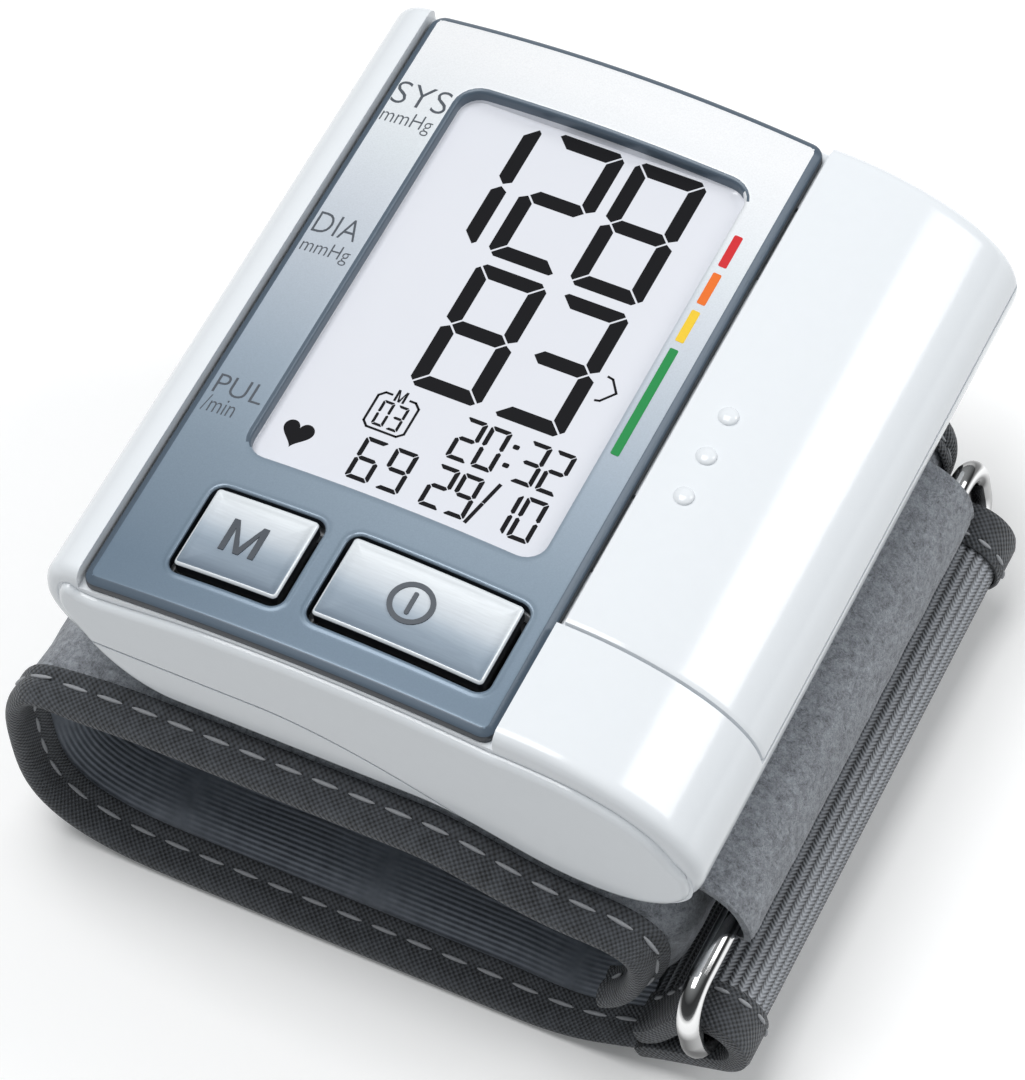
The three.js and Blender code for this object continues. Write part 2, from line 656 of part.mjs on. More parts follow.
// Air pump: a flat motor, its head with the piston chamber, and the shaft with its eccentric
const chamberDepth = headLength - 3;
const shaftHole = rod("x", [pumpY, pumpZ], shaftDiameter + 2 * fit, [motorX[1] - 5, motorX[1] + 1], 12);
const motorShape = roundedRectangle(0, 0, motorWidth, motorHeight, 2.5);
const motorBlock = prismZ(motorShape, motorX).rotate([90, 0, 90]).translate([0, pumpY, pumpZ]);
piece(insideGroup, "pump_motor", motorBlock.subtract(shaftHole), steel);
const outletZ = pumpZ - 0.4;
const headBlock = box(headX, [pumpY - motorWidth / 2, pumpY + motorWidth / 2],
  [pumpZ - motorHeight / 2, pumpZ + motorHeight / 2]);
const chamber = rod("x", [pumpY, pumpZ], camDiameter + 2 * camOffset + 2 * clearance,
  [headX[0] - 1, headX[0] + chamberDepth]);
const outlet = rod("y", [nipplePlace[0], outletZ], tubeBore, [headBack - 1, pumpY], 8);
piece(insideGroup, "pump_head", headBlock.subtract(chamber).subtract(outlet), blackPlastic);
const shaftSpan = [motorX[1] - 5 + clearance, headX[0] + chamberDepth - clearance];
const cam = rod("x", [pumpY, pumpZ + camOffset], camDiameter, [headX[0] + 2, headX[0] + 4.5]);
piece(insideGroup, "pump_shaft", rod("x", [pumpY, pumpZ], shaftDiameter, shaftSpan, 12).add(cam), steel);

// Manifold block with the pump tube, the sensor tube, the exhaust valve and the cuff nipple on it
const manifoldX = [nipplePlace[0] - manifoldSize / 2, nipplePlace[0] + manifoldSize / 2];
const manifoldZ = [floorZ + clearance, floorZ + clearance + manifoldSize + 1];
const manifoldBlock = box(manifoldX, manifoldY, manifoldZ)
  .subtract(rod("z", nipplePlace, nippleDiameter + 2 * fit, [manifoldZ[0] - 1, manifoldZ[0] + 2]))
  .subtract(rod("y", [nipplePlace[0], outletZ], tubeBore, [manifoldY[0] - 1, manifoldY[1] + 1], 8));
piece(insideGroup, "air_manifold", manifoldBlock, blackPlastic);

function tubeSection() {
  const shape = new THREE.Shape();
  shape.absarc(0, 0, tubeDiameter / 2, 0, 2 * Math.PI);
  const bore = new THREE.Path();
  bore.absarc(0, 0, tubeBore / 2 + fit, 0, 2 * Math.PI, true);
  shape.holes.push(bore);
  return shape;
}

function airTube(points, steps) {
  const extrudePath = new THREE.CatmullRomCurve3(points.map((point) => new THREE.Vector3(...point)));
  return solidOf(new THREE.ExtrudeGeometry(tubeSection(), { steps, extrudePath, curveSegments: 4 }));
}

const tubeEnds = [manifoldY[1] + clearance, headBack - clearance];
piece(insideGroup, "pump_tube", airTube(
  [[nipplePlace[0], tubeEnds[0], outletZ], [nipplePlace[0], tubeEnds[1], outletZ]], 1), tubeClear);
const sensorEnd = sensorPlace[1] + 3 + clearance;
const sensorTubePoints = [
  [nipplePlace[0], manifoldY[0] - clearance, outletZ],
  [nipplePlace[0], manifoldY[0] - 1.4, outletZ],
  [nipplePlace[0], sensorEnd + 1.6, sensorPortZ],
  [nipplePlace[0], sensorEnd, sensorPortZ],
];
piece(insideGroup, "sensor_tube", airTube(sensorTubePoints, 6), tubeClear);
const valveZ = floorZ + clearance + valveDiameter / 2;
const valveY = (manifoldY[0] + manifoldY[1]) / 2;
const valveX = [manifoldX[0] - clearance - valveLength, manifoldX[0] - clearance];
const plungerDiameter = valveDiameter - 3;
const plungerBoreSpan = [valveX[0] - 1, valveX[0] + plungerBoreDepth];
const plungerBore = rod("x", [valveY, valveZ], plungerDiameter + 2 * fit, plungerBoreSpan, 12);
const valveBody = rod("x", [valveY, valveZ], valveDiameter, valveX).subtract(plungerBore);
piece(insideGroup, "exhaust_valve", valveBody, steel);
const plungerEnd = valveX[0] + plungerBoreDepth - clearance - plungerTravel;
const plungerSpan = [valveX[0] - plungerStickOut, plungerEnd];
piece(insideGroup, "valve_plunger", rod("x", [valveY, valveZ], plungerDiameter, plungerSpan, 12), brass);

// Battery cells, their contacts and the two conical springs that press on the flat ends
function cell(direction) {
  const can = [-cellLength / 2, cellLength / 2 - cellNubLength];
  const solid = rod("y", [0, 0], cellDiameter, can, 24)
    .add(rod("y", [0, 0], cellNubRadius * 2, [0, cellLength / 2], 12));
  return direction > 0 ? solid : solid.rotate([0, 0, 180]);
}

const outerCellY = frontContactY + clearance + cellLength / 2;
const innerCellY = backContactY - clearance - cellLength / 2;
piece(insideGroup, "battery_outer", cell(-1), cellSkin, [outerCellX, outerCellY, outerCellZ]);
piece(insideGroup, "battery_inner", cell(1), cellSkin, [innerCellX, innerCellY, innerCellZ]);

function contactPlate(x, z, y) {
  const half = cellDiameter / 2 - 1.6;
  return box([x - half, x + half], [y, y + contactThickness], [z - half, z + half]);
}

const bridgeSpan = [bayFront, bayFront + contactThickness];
const bridge = contactPlate(outerCellX, outerCellZ, bayFront)
  .add(contactPlate(innerCellX, innerCellZ, bayFront))
  .add(box([innerCellX, outerCellX], bridgeSpan, [outerCellZ - 1, innerCellZ + 1]));
piece(insideGroup, "contact_bridge", bridge, steel);
piece(insideGroup, "contact_minus", contactPlate(outerCellX, outerCellZ, backContactY), steel);
piece(insideGroup, "contact_plus", contactPlate(innerCellX, innerCellZ, backContactY), steel);

class ConicalCoil extends THREE.Curve {
  getPoint(share, target = new THREE.Vector3()) {
    const angle = share * springTurns * 2 * Math.PI;
    const radius = cellDiameter / 2 - 1.9 - share * springTaper;
    const along = springWire / 2 + share * (springLength - springWire);
    return target.set(radius * Math.cos(angle), along, radius * Math.sin(angle));
  }
}

function contactSpring() {
  const section = new THREE.Shape();
  section.moveTo(springWire / 2, 0);
  for (let corner = 1; corner < 5; corner += 1) {
    const angle = (corner / 5) * 2 * Math.PI;
    section.lineTo(springWire / 2 * Math.cos(angle), springWire / 2 * Math.sin(angle));
  }
  const settings = { steps: springTurns * 8, extrudePath: new ConicalCoil(), curveSegments: 1 };
  return solidOf(new THREE.ExtrudeGeometry(section, settings));
}

const coilGap = Math.hypot(springLength - springWire, springTaper) / springTurns - springWire;
console.log(`least gap between the turns of a contact spring: ${coilGap.toFixed(2)} mm`);
const frontSeat = frontContactY + fit;
piece(insideGroup, "spring_front", contactSpring(), steel, [innerCellX, frontSeat, innerCellZ]);
const backSpring = contactSpring().rotate([0, 0, 180]);
piece(insideGroup, "spring_back", backSpring, steel, [outerCellX, backContactY - fit, outerCellZ]);

// Screws: four through the lower case into the pillars, two that hold the board
function screw(length) {
  return rod("z", [0, 0], screwShank, [-screwHeadThickness / 2, length], 12)
    .add(rod("z", [0, 0], screwHead, [-screwHeadThickness, 0]));
}

screwPlaces.forEach(([x, y], index) => {
  const place = [x, y, headRecess - fit];
  piece(caseGroup, `case_screw_${index + 1}`, screw(7), steel, place);
});
boardScrewPlaces.forEach(([x, y], index) => {
  piece(insideGroup, `board_screw_${index + 1}`, screw(2.2), steel, [x, y, boardBottom - fit]);
});

// Cuff path: the outer face of the felt, from the end tucked in behind the ring, over the right
// bend, under the case, round the left loop, along the floor and up to the strap
const cuffFront = caseFront - cuffProud;
const cuffBack = cuffFront + cuffWidth;
const cuffMiddle = (cuffFront + cuffBack) / 2;
const feltDrop = padBottom - undersideZ - clearance;
const runZ = undersideZ + feltDrop;
const baseZ = runZ - loopHeight;
const strapAngle = THREE.MathUtils.degToRad(strapRise);
const alongStrap = new THREE.Vector2(Math.cos(strapAngle), Math.sin(strapAngle));
const acrossStrap = new THREE.Vector2(-Math.sin(strapAngle), Math.cos(strapAngle));
const restEnd = undersideLeft.x + restLength;
const cuffEnd = new THREE.Vector2(caseRight - 5.7, baseZ + 3.95);

function cuffPath() {
  const tuck = new THREE.Path();
  const bend = bulgeZ + feltDrop;
  tuck.moveTo(caseRight - 7.4, bend - 16.2);
  tuck.bezierCurveTo(caseRight - 4.4, bend - 14.4, caseRight - 2.6, bend - 10, caseRight - 2.5, bend - 6);
  tuck.bezierCurveTo(caseRight - 2.4, bend - 2, bulgeLow.x + 4.5, bend, bulgeLow.x, bend);
  const under = undersideCurve().getPoints(8).reverse();
  const lowered = moved(under, -feltDrop, false);
  const radius = loopHeight / 2;
  const reach = undersideLeft.x - caseLeft + loopReach;
  const loop = [];
  for (let step = 1; step < 20; step += 1) {
    const angle = (step / 20) * Math.PI;
    const [across, up] = [Math.sin(angle), Math.cos(angle)];
    const power = 2 / (up > 0 ? loopRoundnessTop : loopRoundnessBottom);
    const spread = Math.pow(across, power);
    const rise = Math.sign(up) * Math.pow(Math.abs(up), power);
    loop.push(new THREE.Vector2(undersideLeft.x - reach * spread, runZ - radius + radius * rise));
  }
  const floor = new THREE.Path();
  floor.moveTo(undersideLeft.x, baseZ);
  floor.lineTo(restEnd, baseZ);
  const lead = cuffEnd.clone().addScaledVector(alongStrap, -4);
  const pull = lead.clone().addScaledVector(alongStrap, -4);
  floor.bezierCurveTo(restEnd + 3.5, baseZ, pull.x, pull.y, lead.x, lead.y);
  floor.lineTo(cuffEnd.x, cuffEnd.y);
  return [...tuck.getPoints(6).slice(0, -1), ...lowered, ...loop, ...floor.getPoints(6)];
}

const feltPath = cuffPath();

// A layer between two depths under the felt's outer face, with y as its span along the wrist
function layer(path, depths, y) {
  const near = moved(path, depths[0], false);
  const far = moved(path, depths[1], false).reverse();
  return prismY(new THREE.Shape([...near, ...far]), y);
}

function stretched(path, amount) {
  const [first, last] = [path[0], path[path.length - 1]];
  const before = first.clone().sub(path[1]).setLength(amount).add(first);
  const after = last.clone().sub(path[path.length - 2]).setLength(amount).add(last);
  return [before, ...path, after];
}

const cuffSpan = [cuffFront, cuffBack];
const stiffenerDepth = feltThickness + layerGap;
const bladderDepth = stiffenerDepth + stiffenerThickness + layerGap;
const liningDepth = bladderDepth + bladderThickness + layerGap;
const cuffThickness = liningDepth + liningThickness;
const insidePath = feltPath.slice(6, -6);
const thinning = bladderThickness + stiffenerThickness + 2 * layerGap;

// Past the end of the stiffener and bladder the lower run closes up to felt and lining
function depthAt(depth) {
  return (point) => {
    const low = point.y < runZ - loopHeight / 2 && point.x > 0;
    const share = THREE.MathUtils.smoothstep(point.x, restEnd - 2, cuffEnd.x - 3);
    return low && point.x < cuffEnd.x + 1 && point.y < cuffEnd.y + 1 ? depth - share * thinning : depth;
  };
}

const insideSpan = [cuffFront + layerGap, cuffBack - layerGap];
const pegHoles = [...pegPlaces.map((place) => [place, pegDiameter]), [nipplePlace, nippleDiameter]];

function holed(solid, depth) {
  return pegHoles.reduce((rest, [place, diameter]) => {
    const hole = rod("z", place, diameter + 2 * clearance, [runZ - depth, undersideZ]);
    return rest.subtract(hole);
  }, solid);
}

function stiffener() {
  const depths = [stiffenerDepth, stiffenerDepth + stiffenerThickness];
  let solid = layer(insidePath, depths, insideSpan);
  for (const place of pegPlaces) {
    const pegBottom = runZ - stiffenerDepth - stiffenerThickness / 2;
    solid = solid.add(rod("z", place, pegDiameter, [pegBottom, floorZ]));
  }
  const port = rod("z", nipplePlace, nippleDiameter + 2 * clearance, [runZ - cuffThickness, runZ]);
  return solid.subtract(port);
}

function binding(y, outward) {
  const depths = [-layerGap - bindingThickness, depthAt(cuffThickness + layerGap + bindingThickness)];
  const edge = y + outward * (layerGap + bindingThickness);
  const inner = y - outward * bindingReach;
  const cover = layer(feltPath, depths, [Math.min(edge, inner), Math.max(edge, inner)]);
  const pocketEdge = y + outward * layerGap;
  const pocketInner = inner - outward;
  const pocket = layer(stretched(feltPath, 1), [-layerGap, depthAt(cuffThickness + layerGap)],
    [Math.min(pocketEdge, pocketInner), Math.max(pocketEdge, pocketInner)]);
  return cover.subtract(pocket);
}

const felt = holed(layer(feltPath, [0, feltThickness], cuffSpan), cuffThickness);
piece(cuffGroup, "cuff_felt", felt, feltGrey);
piece(cuffGroup, "cuff_stiffener", stiffener(), blackPlastic);
const bladderSpan = [cuffFront + bindingReach, cuffBack - bindingReach];
const bladderDepths = [bladderDepth, bladderDepth + bladderThickness];
const bladder = layer(insidePath.slice(0, -3), bladderDepths, bladderSpan);
piece(cuffGroup, "air_bladder", bladder, bladderFilm);
const liningDepths = [depthAt(liningDepth), depthAt(cuffThickness)];
piece(cuffGroup, "cuff_lining", layer(feltPath, liningDepths, cuffSpan), liningNavy);
piece(cuffGroup, "front_binding", binding(cuffFront, -1), bindingBlack);
piece(cuffGroup, "rear_binding", binding(cuffBack, 1), bindingBlack);
const nippleSpan = [runZ - bladderDepth + fit, manifoldZ[0] + 1.6];
const nipple = rod("z", nipplePlace, nippleDiameter, nippleSpan)
  .subtract(rod("z", nipplePlace, nippleBore, [nippleSpan[0] - 1, nippleSpan[1] + 1], 8));
piece(cuffGroup, "cuff_nipple", nipple, blackPlastic);

// Metal ring: a wire loop with its long sides along the wrist, one in the felt, one in the strap
const lowerBar = cuffEnd.clone().addScaledVector(alongStrap, 8.1).addScaledVector(acrossStrap, 1.15);
const ringMiddle = cuffMiddle - ringForward;
const upperBar = new THREE.Vector2(lowerBar.x - ringLean, lowerBar.y + ringDrop);

function wireRing() {
  const across = new THREE.Vector3(upperBar.x - lowerBar.x, 0, upperBar.y - lowerBar.y);
  const height = across.length();
  const up = across.normalize();
  const along = new THREE.Vector3(0, 1, 0);
  const facing = new THREE.Vector3().crossVectors(along, up);
  const centre = upperBar.clone().add(lowerBar).multiplyScalar(0.5);
  const middle = new THREE.Vector3(centre.x, ringMiddle, centre.y);
  const length = ringInnerLength + wireDiameter;
  const track = roundedRectangle(0, 0, length, height, ringBend).getPoints(4).slice(0, -1);
  const outward = sideNormals(track, true);
  const count = 10;
  const positions = [];
  const triangles = [];
  track.forEach((point, index) => {
    for (let side = 0; side < count; side += 1) {
      const angle = (side / count) * 2 * Math.PI;
      const flat = point.clone().addScaledVector(outward[index], (-Math.cos(angle) * wireDiameter) / 2);
      const place = middle.clone().addScaledVector(along, flat.x).addScaledVector(up, flat.y);
      place.addScaledVector(facing, (Math.sin(angle) * wireDiameter) / 2);
      positions.push(place.x, place.y, place.z);
      const next = (index + 1) % track.length;
      const [here, turned] = [index * count + side, index * count + ((side + 1) % count)];
      const [ahead, both] = [next * count + side, next * count + ((side + 1) % count)];
      triangles.push(here, ahead, both, here, both, turned);
    }
  });
  const geometry = new THREE.BufferGeometry();
  geometry.setAttribute("position", new THREE.Float32BufferAttribute(positions, 3));
  geometry.setIndex(triangles);
  return solidOf(geometry);
}

piece(cuffGroup, "metal_ring", wireRing(), chrome);

// Felt loop: the cuff's fastening end folded over the ring's upper side, with its hook patch
function loopPath() {
  const path = new THREE.Path();
  const bend = bulgeZ + feltDrop;
  const turn = wireDiameter / 2 + feltLoopSlack + feltLoopThickness;
  path.moveTo(bulgeLow.x + 5, bend + 0.95);
  path.bezierCurveTo(bulgeLow.x + 8.5, bend + 1, upperBar.x + turn, upperBar.y + 5,
    upperBar.x + turn, upperBar.y);
  path.absarc(upperBar.x, upperBar.y, turn, 0, -Math.PI * 0.62, true);
  return path.getPoints(8);
}

const feltLoopSpan = [cuffMiddle - feltLoopWidth / 2, cuffMiddle + feltLoopWidth / 2];
const loopTrack = loopPath().reverse();
piece(cuffGroup, "felt_loop", layer(loopTrack, [0, feltLoopThickness], feltLoopSpan), feltGrey);
const patchTrack = loopTrack.slice(-5, -1);
const patchDepths = [feltLoopThickness + fit, feltLoopThickness + 0.5];
const patchSpan = [feltLoopSpan[0] + 3, feltLoopSpan[1] - 3];
piece(cuffGroup, "hook_patch", layer(patchTrack, patchDepths, patchSpan), blackPlastic);

// Strap: webbing from the end of the lower run, over the ring's lower side and back underneath
function strapPath() {
  const turn = wireDiameter / 2 + strapSlack + strapThickness;
  const place = (along, across) => cuffEnd.clone().addScaledVector(alongStrap, along)
    .addScaledVector(acrossStrap, across);
  const fromBar = lowerBar.clone().sub(cuffEnd);
  const barAlong = fromBar.dot(alongStrap);
  const barAcross = fromBar.dot(acrossStrap);
  const path = new THREE.Path();
  const under = -layerGap - bindingThickness - clearance - strapThickness;
  const start = place(-1, under);
  path.moveTo(start.x, start.y);
  const low = place(1.5, under);
  path.lineTo(low.x, low.y);
  path.absarc(lowerBar.x, lowerBar.y, turn, strapAngle - Math.PI / 2, strapAngle + Math.PI / 2);
  const top = place(barAlong - 3, barAcross + turn);
  const finish = place(clearance, (cuffThickness - thinning + strapThickness) / 2);
  const pull = place(clearance + 2.5, (cuffThickness - thinning + strapThickness) / 2);
  path.bezierCurveTo(top.x, top.y, pull.x, pull.y, finish.x, finish.y);
  return path.getPoints(7);
}

const strapSpan = [ringMiddle - strapWidth / 2, ringMiddle + strapWidth / 2];
const webbingTrack = strapPath();
piece(cuffGroup, "strap_webbing", layer(webbingTrack, [0, strapThickness], strapSpan), webbingGrey);

// A cap wraps each end of the roll: outside the webbing and over its edge, slotted where the wire leaves
function strapCap(y, outward) {
  const track = webbingTrack.slice(1, -4);
  const edge = y + outward * (layerGap + capThickness);
  const inner = y - outward * capReach;
  const cover = layer(track, [-layerGap - capThickness, strapThickness],
    [Math.min(edge, inner), Math.max(edge, inner)]);
  const pocketEdge = y + outward * layerGap;
  const pocketInner = inner - outward;
  const pocket = layer(stretched(track, 1), [-layerGap, strapThickness + 0.5],
    [Math.min(pocketEdge, pocketInner), Math.max(pocketEdge, pocketInner)]);
  const slotHalf = wireDiameter / 2 + strapSlack;
  const slot = box([lowerBar.x - slotHalf, lowerBar.x + slotHalf],
    [Math.min(y, edge + outward), Math.max(y, edge + outward)], [lowerBar.y, upperBar.y]);
  return cover.subtract(pocket).subtract(slot);
}

piece(cuffGroup, "strap_cap_front", strapCap(strapSpan[0], -1), bindingBlack);
piece(cuffGroup, "strap_cap_rear", strapCap(strapSpan[1], 1), bindingBlack);

// The finished part stands on its cuff with its base centred on the origin
const bounds = new THREE.Box3().setFromObject(assembly);
const middleOfBase = bounds.getCenter(new THREE.Vector3());
assembly.position.set(-middleOfBase.x, -middleOfBase.y, -bounds.min.z);
assembly.updateMatrixWorld(true);

export default assembly;
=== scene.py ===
import json
import math

import bmesh
import bpy
from mathutils import Matrix, Quaternion, Vector, noise


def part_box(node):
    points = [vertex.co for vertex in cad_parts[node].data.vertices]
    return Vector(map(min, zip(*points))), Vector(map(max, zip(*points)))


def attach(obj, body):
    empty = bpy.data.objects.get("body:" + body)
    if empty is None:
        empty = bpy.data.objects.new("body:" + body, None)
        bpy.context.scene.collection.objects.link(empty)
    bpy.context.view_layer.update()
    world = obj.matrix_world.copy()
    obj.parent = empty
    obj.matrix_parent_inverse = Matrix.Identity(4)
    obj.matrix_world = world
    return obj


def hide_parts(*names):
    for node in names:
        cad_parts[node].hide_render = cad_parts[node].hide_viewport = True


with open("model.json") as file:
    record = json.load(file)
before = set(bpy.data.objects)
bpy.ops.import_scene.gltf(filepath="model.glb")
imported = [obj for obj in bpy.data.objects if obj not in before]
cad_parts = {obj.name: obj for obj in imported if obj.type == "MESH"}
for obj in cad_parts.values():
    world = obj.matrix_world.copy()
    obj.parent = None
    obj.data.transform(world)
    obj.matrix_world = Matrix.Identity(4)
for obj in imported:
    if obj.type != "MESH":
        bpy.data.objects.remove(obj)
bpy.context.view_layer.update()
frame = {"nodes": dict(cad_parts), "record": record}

# Inner pieces: the board, the pump, the cells and all else that the closed case hides.
# They are moulded, stamped and soldered parts, held by the case's ribs and screws.
# Each keeps its own solid here and gets the finish of its material.
MM = 0.001


def srgb(red, green, blue):
    """A colour of three levels up to 255, as the linear values that a shader takes."""
    values = []
    for level in (red, green, blue):
        share = level / 255
        values.append(share / 12.92 if share <= 0.04045 else ((share + 0.055) / 1.055) ** 2.4)
    return (*values, 1.0)


def add_node(tree, kind, values=None, **settings):
    """A new node in a tree, with its settings and the values of its input sockets."""
    made = tree.nodes.new(kind)
    for name, value in settings.items():
        setattr(made, name, value)
    for socket, value in (values or {}).items():
        made.inputs[socket].default_value = value
    return made


def join(tree, *ways):
    """Links in a node tree, each from a node's output to a node's input."""
    for source, output, target, socket in ways:
        tree.links.new(source.outputs[output], target.inputs[socket])


def new_tree(name, kind, inputs, outputs):
    """A node group with named sockets: its tree, its two end nodes and the keys of its inputs."""
    tree = bpy.data.node_groups.new(name, kind)
    input_keys = {}
    for socket, form in inputs:
        made = tree.interface.new_socket(socket, in_out="INPUT", socket_type=f"NodeSocket{form}")
        input_keys[socket] = made.identifier
    for socket, form in outputs:
        tree.interface.new_socket(socket, in_out="OUTPUT", socket_type=f"NodeSocket{form}")
    return tree, add_node(tree, "NodeGroupInput"), add_node(tree, "NodeGroupOutput"), input_keys


def surface_grain():
    """Shader group: a colour broken up by a fine even grain, and the grain as a height."""
    inputs = [("Color", "Color"), ("Scale", "Float"), ("Contrast", "Float")]
    outputs = [("Color", "Color"), ("Height", "Float")]
    tree, given, result, _ = new_tree("surface_grain", "ShaderNodeTree", inputs, outputs)
    place = add_node(tree, "ShaderNodeTexCoord")
    grain = add_node(tree, "ShaderNodeTexNoise", {"Detail": 4.0, "Roughness": 0.6})
    centred = add_node(tree, "ShaderNodeMath", {1: 0.5}, operation="SUBTRACT")
    swing = add_node(tree, "ShaderNodeMath", {2: 1.0}, operation="MULTIPLY_ADD")
    shaded = add_node(tree, "ShaderNodeVectorMath", operation="SCALE")
    join(tree, (place, "Object", grain, "Vector"), (given, "Scale", grain, "Scale"), (grain, 0, centred, 0),
         (centred, 0, swing, 0), (given, "Contrast", swing, 1), (given, "Color", shaded, 0),
         (swing, 0, shaded, "Scale"), (shaded, "Vector", result, "Color"), (grain, 0, result, "Height"))
    return tree


grain_tree = surface_grain()


def new_material(name, values):
    """A material with its node tree and its shader, whose sockets get their values."""
    material = bpy.data.materials.new(name)
    material.use_nodes = True
    tree = material.node_tree
    shader = tree.nodes["Principled BSDF"]
    for socket, value in values.items():
        shader.inputs[socket].default_value = value
    return material, tree, shader


def grained(name, color, roughness, metallic=0.0, scale=900.0, contrast=0.12, relief=0.0, shine=0.5):
    """A material of one colour with a fine grain in its shade and, with a relief in mm, in its surface."""
    values = {"Roughness": roughness, "Metallic": metallic, "Specular IOR Level": shine}
    material, tree, shader = new_material(name, values)
    values = {"Color": color, "Scale": scale, "Contrast": contrast}
    grain = add_node(tree, "ShaderNodeGroup", values, node_tree=grain_tree)
    join(tree, (grain, "Color", shader, "Base Color"))
    if relief:
        bump = add_node(tree, "ShaderNodeBump", {"Strength": 0.5, "Distance": relief * MM})
        join(tree, (grain, "Height", bump, "Height"), (bump, "Normal", shader, "Normal"))
    return material


finishes = {
    "display_glass": grained("display_glass", srgb(196, 202, 196), 0.1),
    "black_plastic": grained("black_plastic", srgb(28, 29, 31), 0.45, relief=0.02),
    "grey_rubber": grained("grey_rubber", srgb(120, 122, 126), 0.7, relief=0.03),
    "board_green": grained("solder_mask", srgb(22, 92, 52), 0.35, scale=1800, contrast=0.25),
    "steel": grained("plated_steel", srgb(176, 178, 180), 0.32, metallic=1.0, scale=2500),
    "brass": grained("brass", srgb(196, 160, 92), 0.3, metallic=1.0, scale=2500),
    "cell_skin": grained("cell_skin", srgb(52, 66, 88), 0.3, scale=400, contrast=0.2),
    "tube_clear": grained("tube_silicone", srgb(206, 208, 204), 0.4),
    "bladder_film": grained("bladder_film", srgb(60, 62, 68), 0.5),
}
for subpart in frame["record"]["subparts"]:
    carried = frame["nodes"].get(subpart["node"])
    if carried and subpart.get("material_slot") in finishes:
        for material_slot in carried.material_slots:
            material_slot.material = finishes[subpart["material_slot"]]

# Case: two white glossy halves of moulded plastic that meet at a wavy parting line.
# The upper half carries the panel in a crowned seat, and a raised pad fills each end face.
# Four screws from below, under the cuff, hold the halves together.
case_low, case_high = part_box("upper_case")
RIM = 0.7
home = Vector((
    (case_low.x + case_high.x) / 2,
    (case_low.y + case_high.y) / 2,
    case_high.z - RIM * MM,
))
panel_low, panel_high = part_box("front_panel")
HALF_WIDTH = (case_high.x - case_low.x) / 2 / MM
PAD_END = (case_high.y - case_low.y) / 2 / MM
PAD_PROUD = 0.6
PAD_EDGE = 0.7
PAD_INSET = 1.75
BODY_END = PAD_END - PAD_PROUD
PANEL_GAP = 0.2
PANEL_LEFT = (panel_low.x - home.x) / MM
PANEL_RIGHT = (panel_high.x - home.x) / MM
PANEL_CROWN = (panel_high.z - home.z) / MM
PANEL_THICKNESS = 1.2
RECESS_LEFT = PANEL_LEFT - PANEL_GAP
RECESS_RIGHT = PANEL_RIGHT + PANEL_GAP
DECK_TOP = -1.3
DECK_BOTTOM = -2.7
UNDERSIDE = -14.4
BULGE = -17.9
UNDERSIDE_LEFT = 12 - HALF_WIDTH
UNDERSIDE_RIGHT = 4.1
BULGE_X = HALF_WIDTH - 10
WALL = 1.4
END_FILLET = 1.2
PARTING_GAP = 0.3
SEAM_DEPTH = 8.9
LID_DROP = 9.9
LID_FRONT = -21.5
BAY_LEFT = 7.1
BAY_FRONT = -18.4
BAY_BACK = 31.1
FILLET_START = BODY_END - END_FILLET - 0.5
CUT_SIDE = HALF_WIDTH + 5
CUT_FOOT = BULGE - 5
CUT_TOP = 6
CUT_END = PAD_END + 2
QUARTER = [step / 6 * math.pi / 2 for step in range(7)]
white_plastic = grained("white_plastic", srgb(234, 238, 242), 0.14, scale=700, contrast=0.03)


def blend_between(low, high, value):
    """A smooth step from 0 at low to 1 at high."""
    share = min(max((value - low) / (high - low), 0), 1)
    return share * share * (3 - 2 * share)


def crown_at(x):
    """Height of the crowned panel over its own edges, at x across the wrist."""
    share = (x - (PANEL_LEFT + PANEL_RIGHT) / 2) / ((PANEL_RIGHT - PANEL_LEFT) / 2)
    return PANEL_CROWN * (1 - share * share)


def bezier(start, pull, push, end, steps):
    """Points along a cubic curve, from its start up to but not with its end."""
    points = []
    for step in range(steps):
        t = step / steps
        s = 1 - t
        weights = (s ** 3, 3 * s * s * t, 3 * s * t * t, t ** 3)
        corners = (start, pull, push, end)
        x = sum(weight * corner[0] for weight, corner in zip(weights, corners))
        z = sum(weight * corner[1] for weight, corner in zip(weights, corners))
        points.append(Vector((x, z)))
    return points


def line(start, end, steps):
    """Evenly spaced points from a start up to but not with an end."""
    return [Vector(start).lerp(Vector(end), step / steps) for step in range(steps)]


def case_outline():
    """The case's outer section across the wrist, anticlockwise from the panel's right edge."""
    left, right = -HALF_WIDTH, HALF_WIDTH
    points = []
    for step in range(40):
        x = RECESS_RIGHT + (RECESS_LEFT - RECESS_RIGHT) * step / 40
        points.append(Vector((x, RIM + crown_at(x) if RECESS_LEFT < x < RECESS_RIGHT else RIM)))
    points += bezier((RECESS_LEFT, RIM), (left + 1.5, RIM), (left, -1), (left, -4.2), 16)
    points += bezier((left, -4.2), (left, -8.6), (UNDERSIDE_LEFT - 5, UNDERSIDE),
                     (UNDERSIDE_LEFT, UNDERSIDE), 24)
    points += line((UNDERSIDE_LEFT, UNDERSIDE), (UNDERSIDE_RIGHT, UNDERSIDE), 12)
    points += bezier((UNDERSIDE_RIGHT, UNDERSIDE), (UNDERSIDE_RIGHT + 6.5, UNDERSIDE),
                     (BULGE_X - 7, BULGE), (BULGE_X, BULGE), 20)
    points += bezier((BULGE_X, BULGE), (right - 4, BULGE), (right, -14.8), (right, -10), 24)
    points += bezier((right, -10), (right - 0.4, -3.4), (RECESS_RIGHT + 8.5, RIM), (RECESS_RIGHT, RIM), 40)
    return points


def inward_normals(points):
    """Unit normals that point into an anticlockwise closed section."""
    normals = []
    for index in range(len(points)):
        along = points[(index + 1) % len(points)] - points[index - 1]
        normals.append(Vector((-along.y, along.x)).normalized())
    return normals


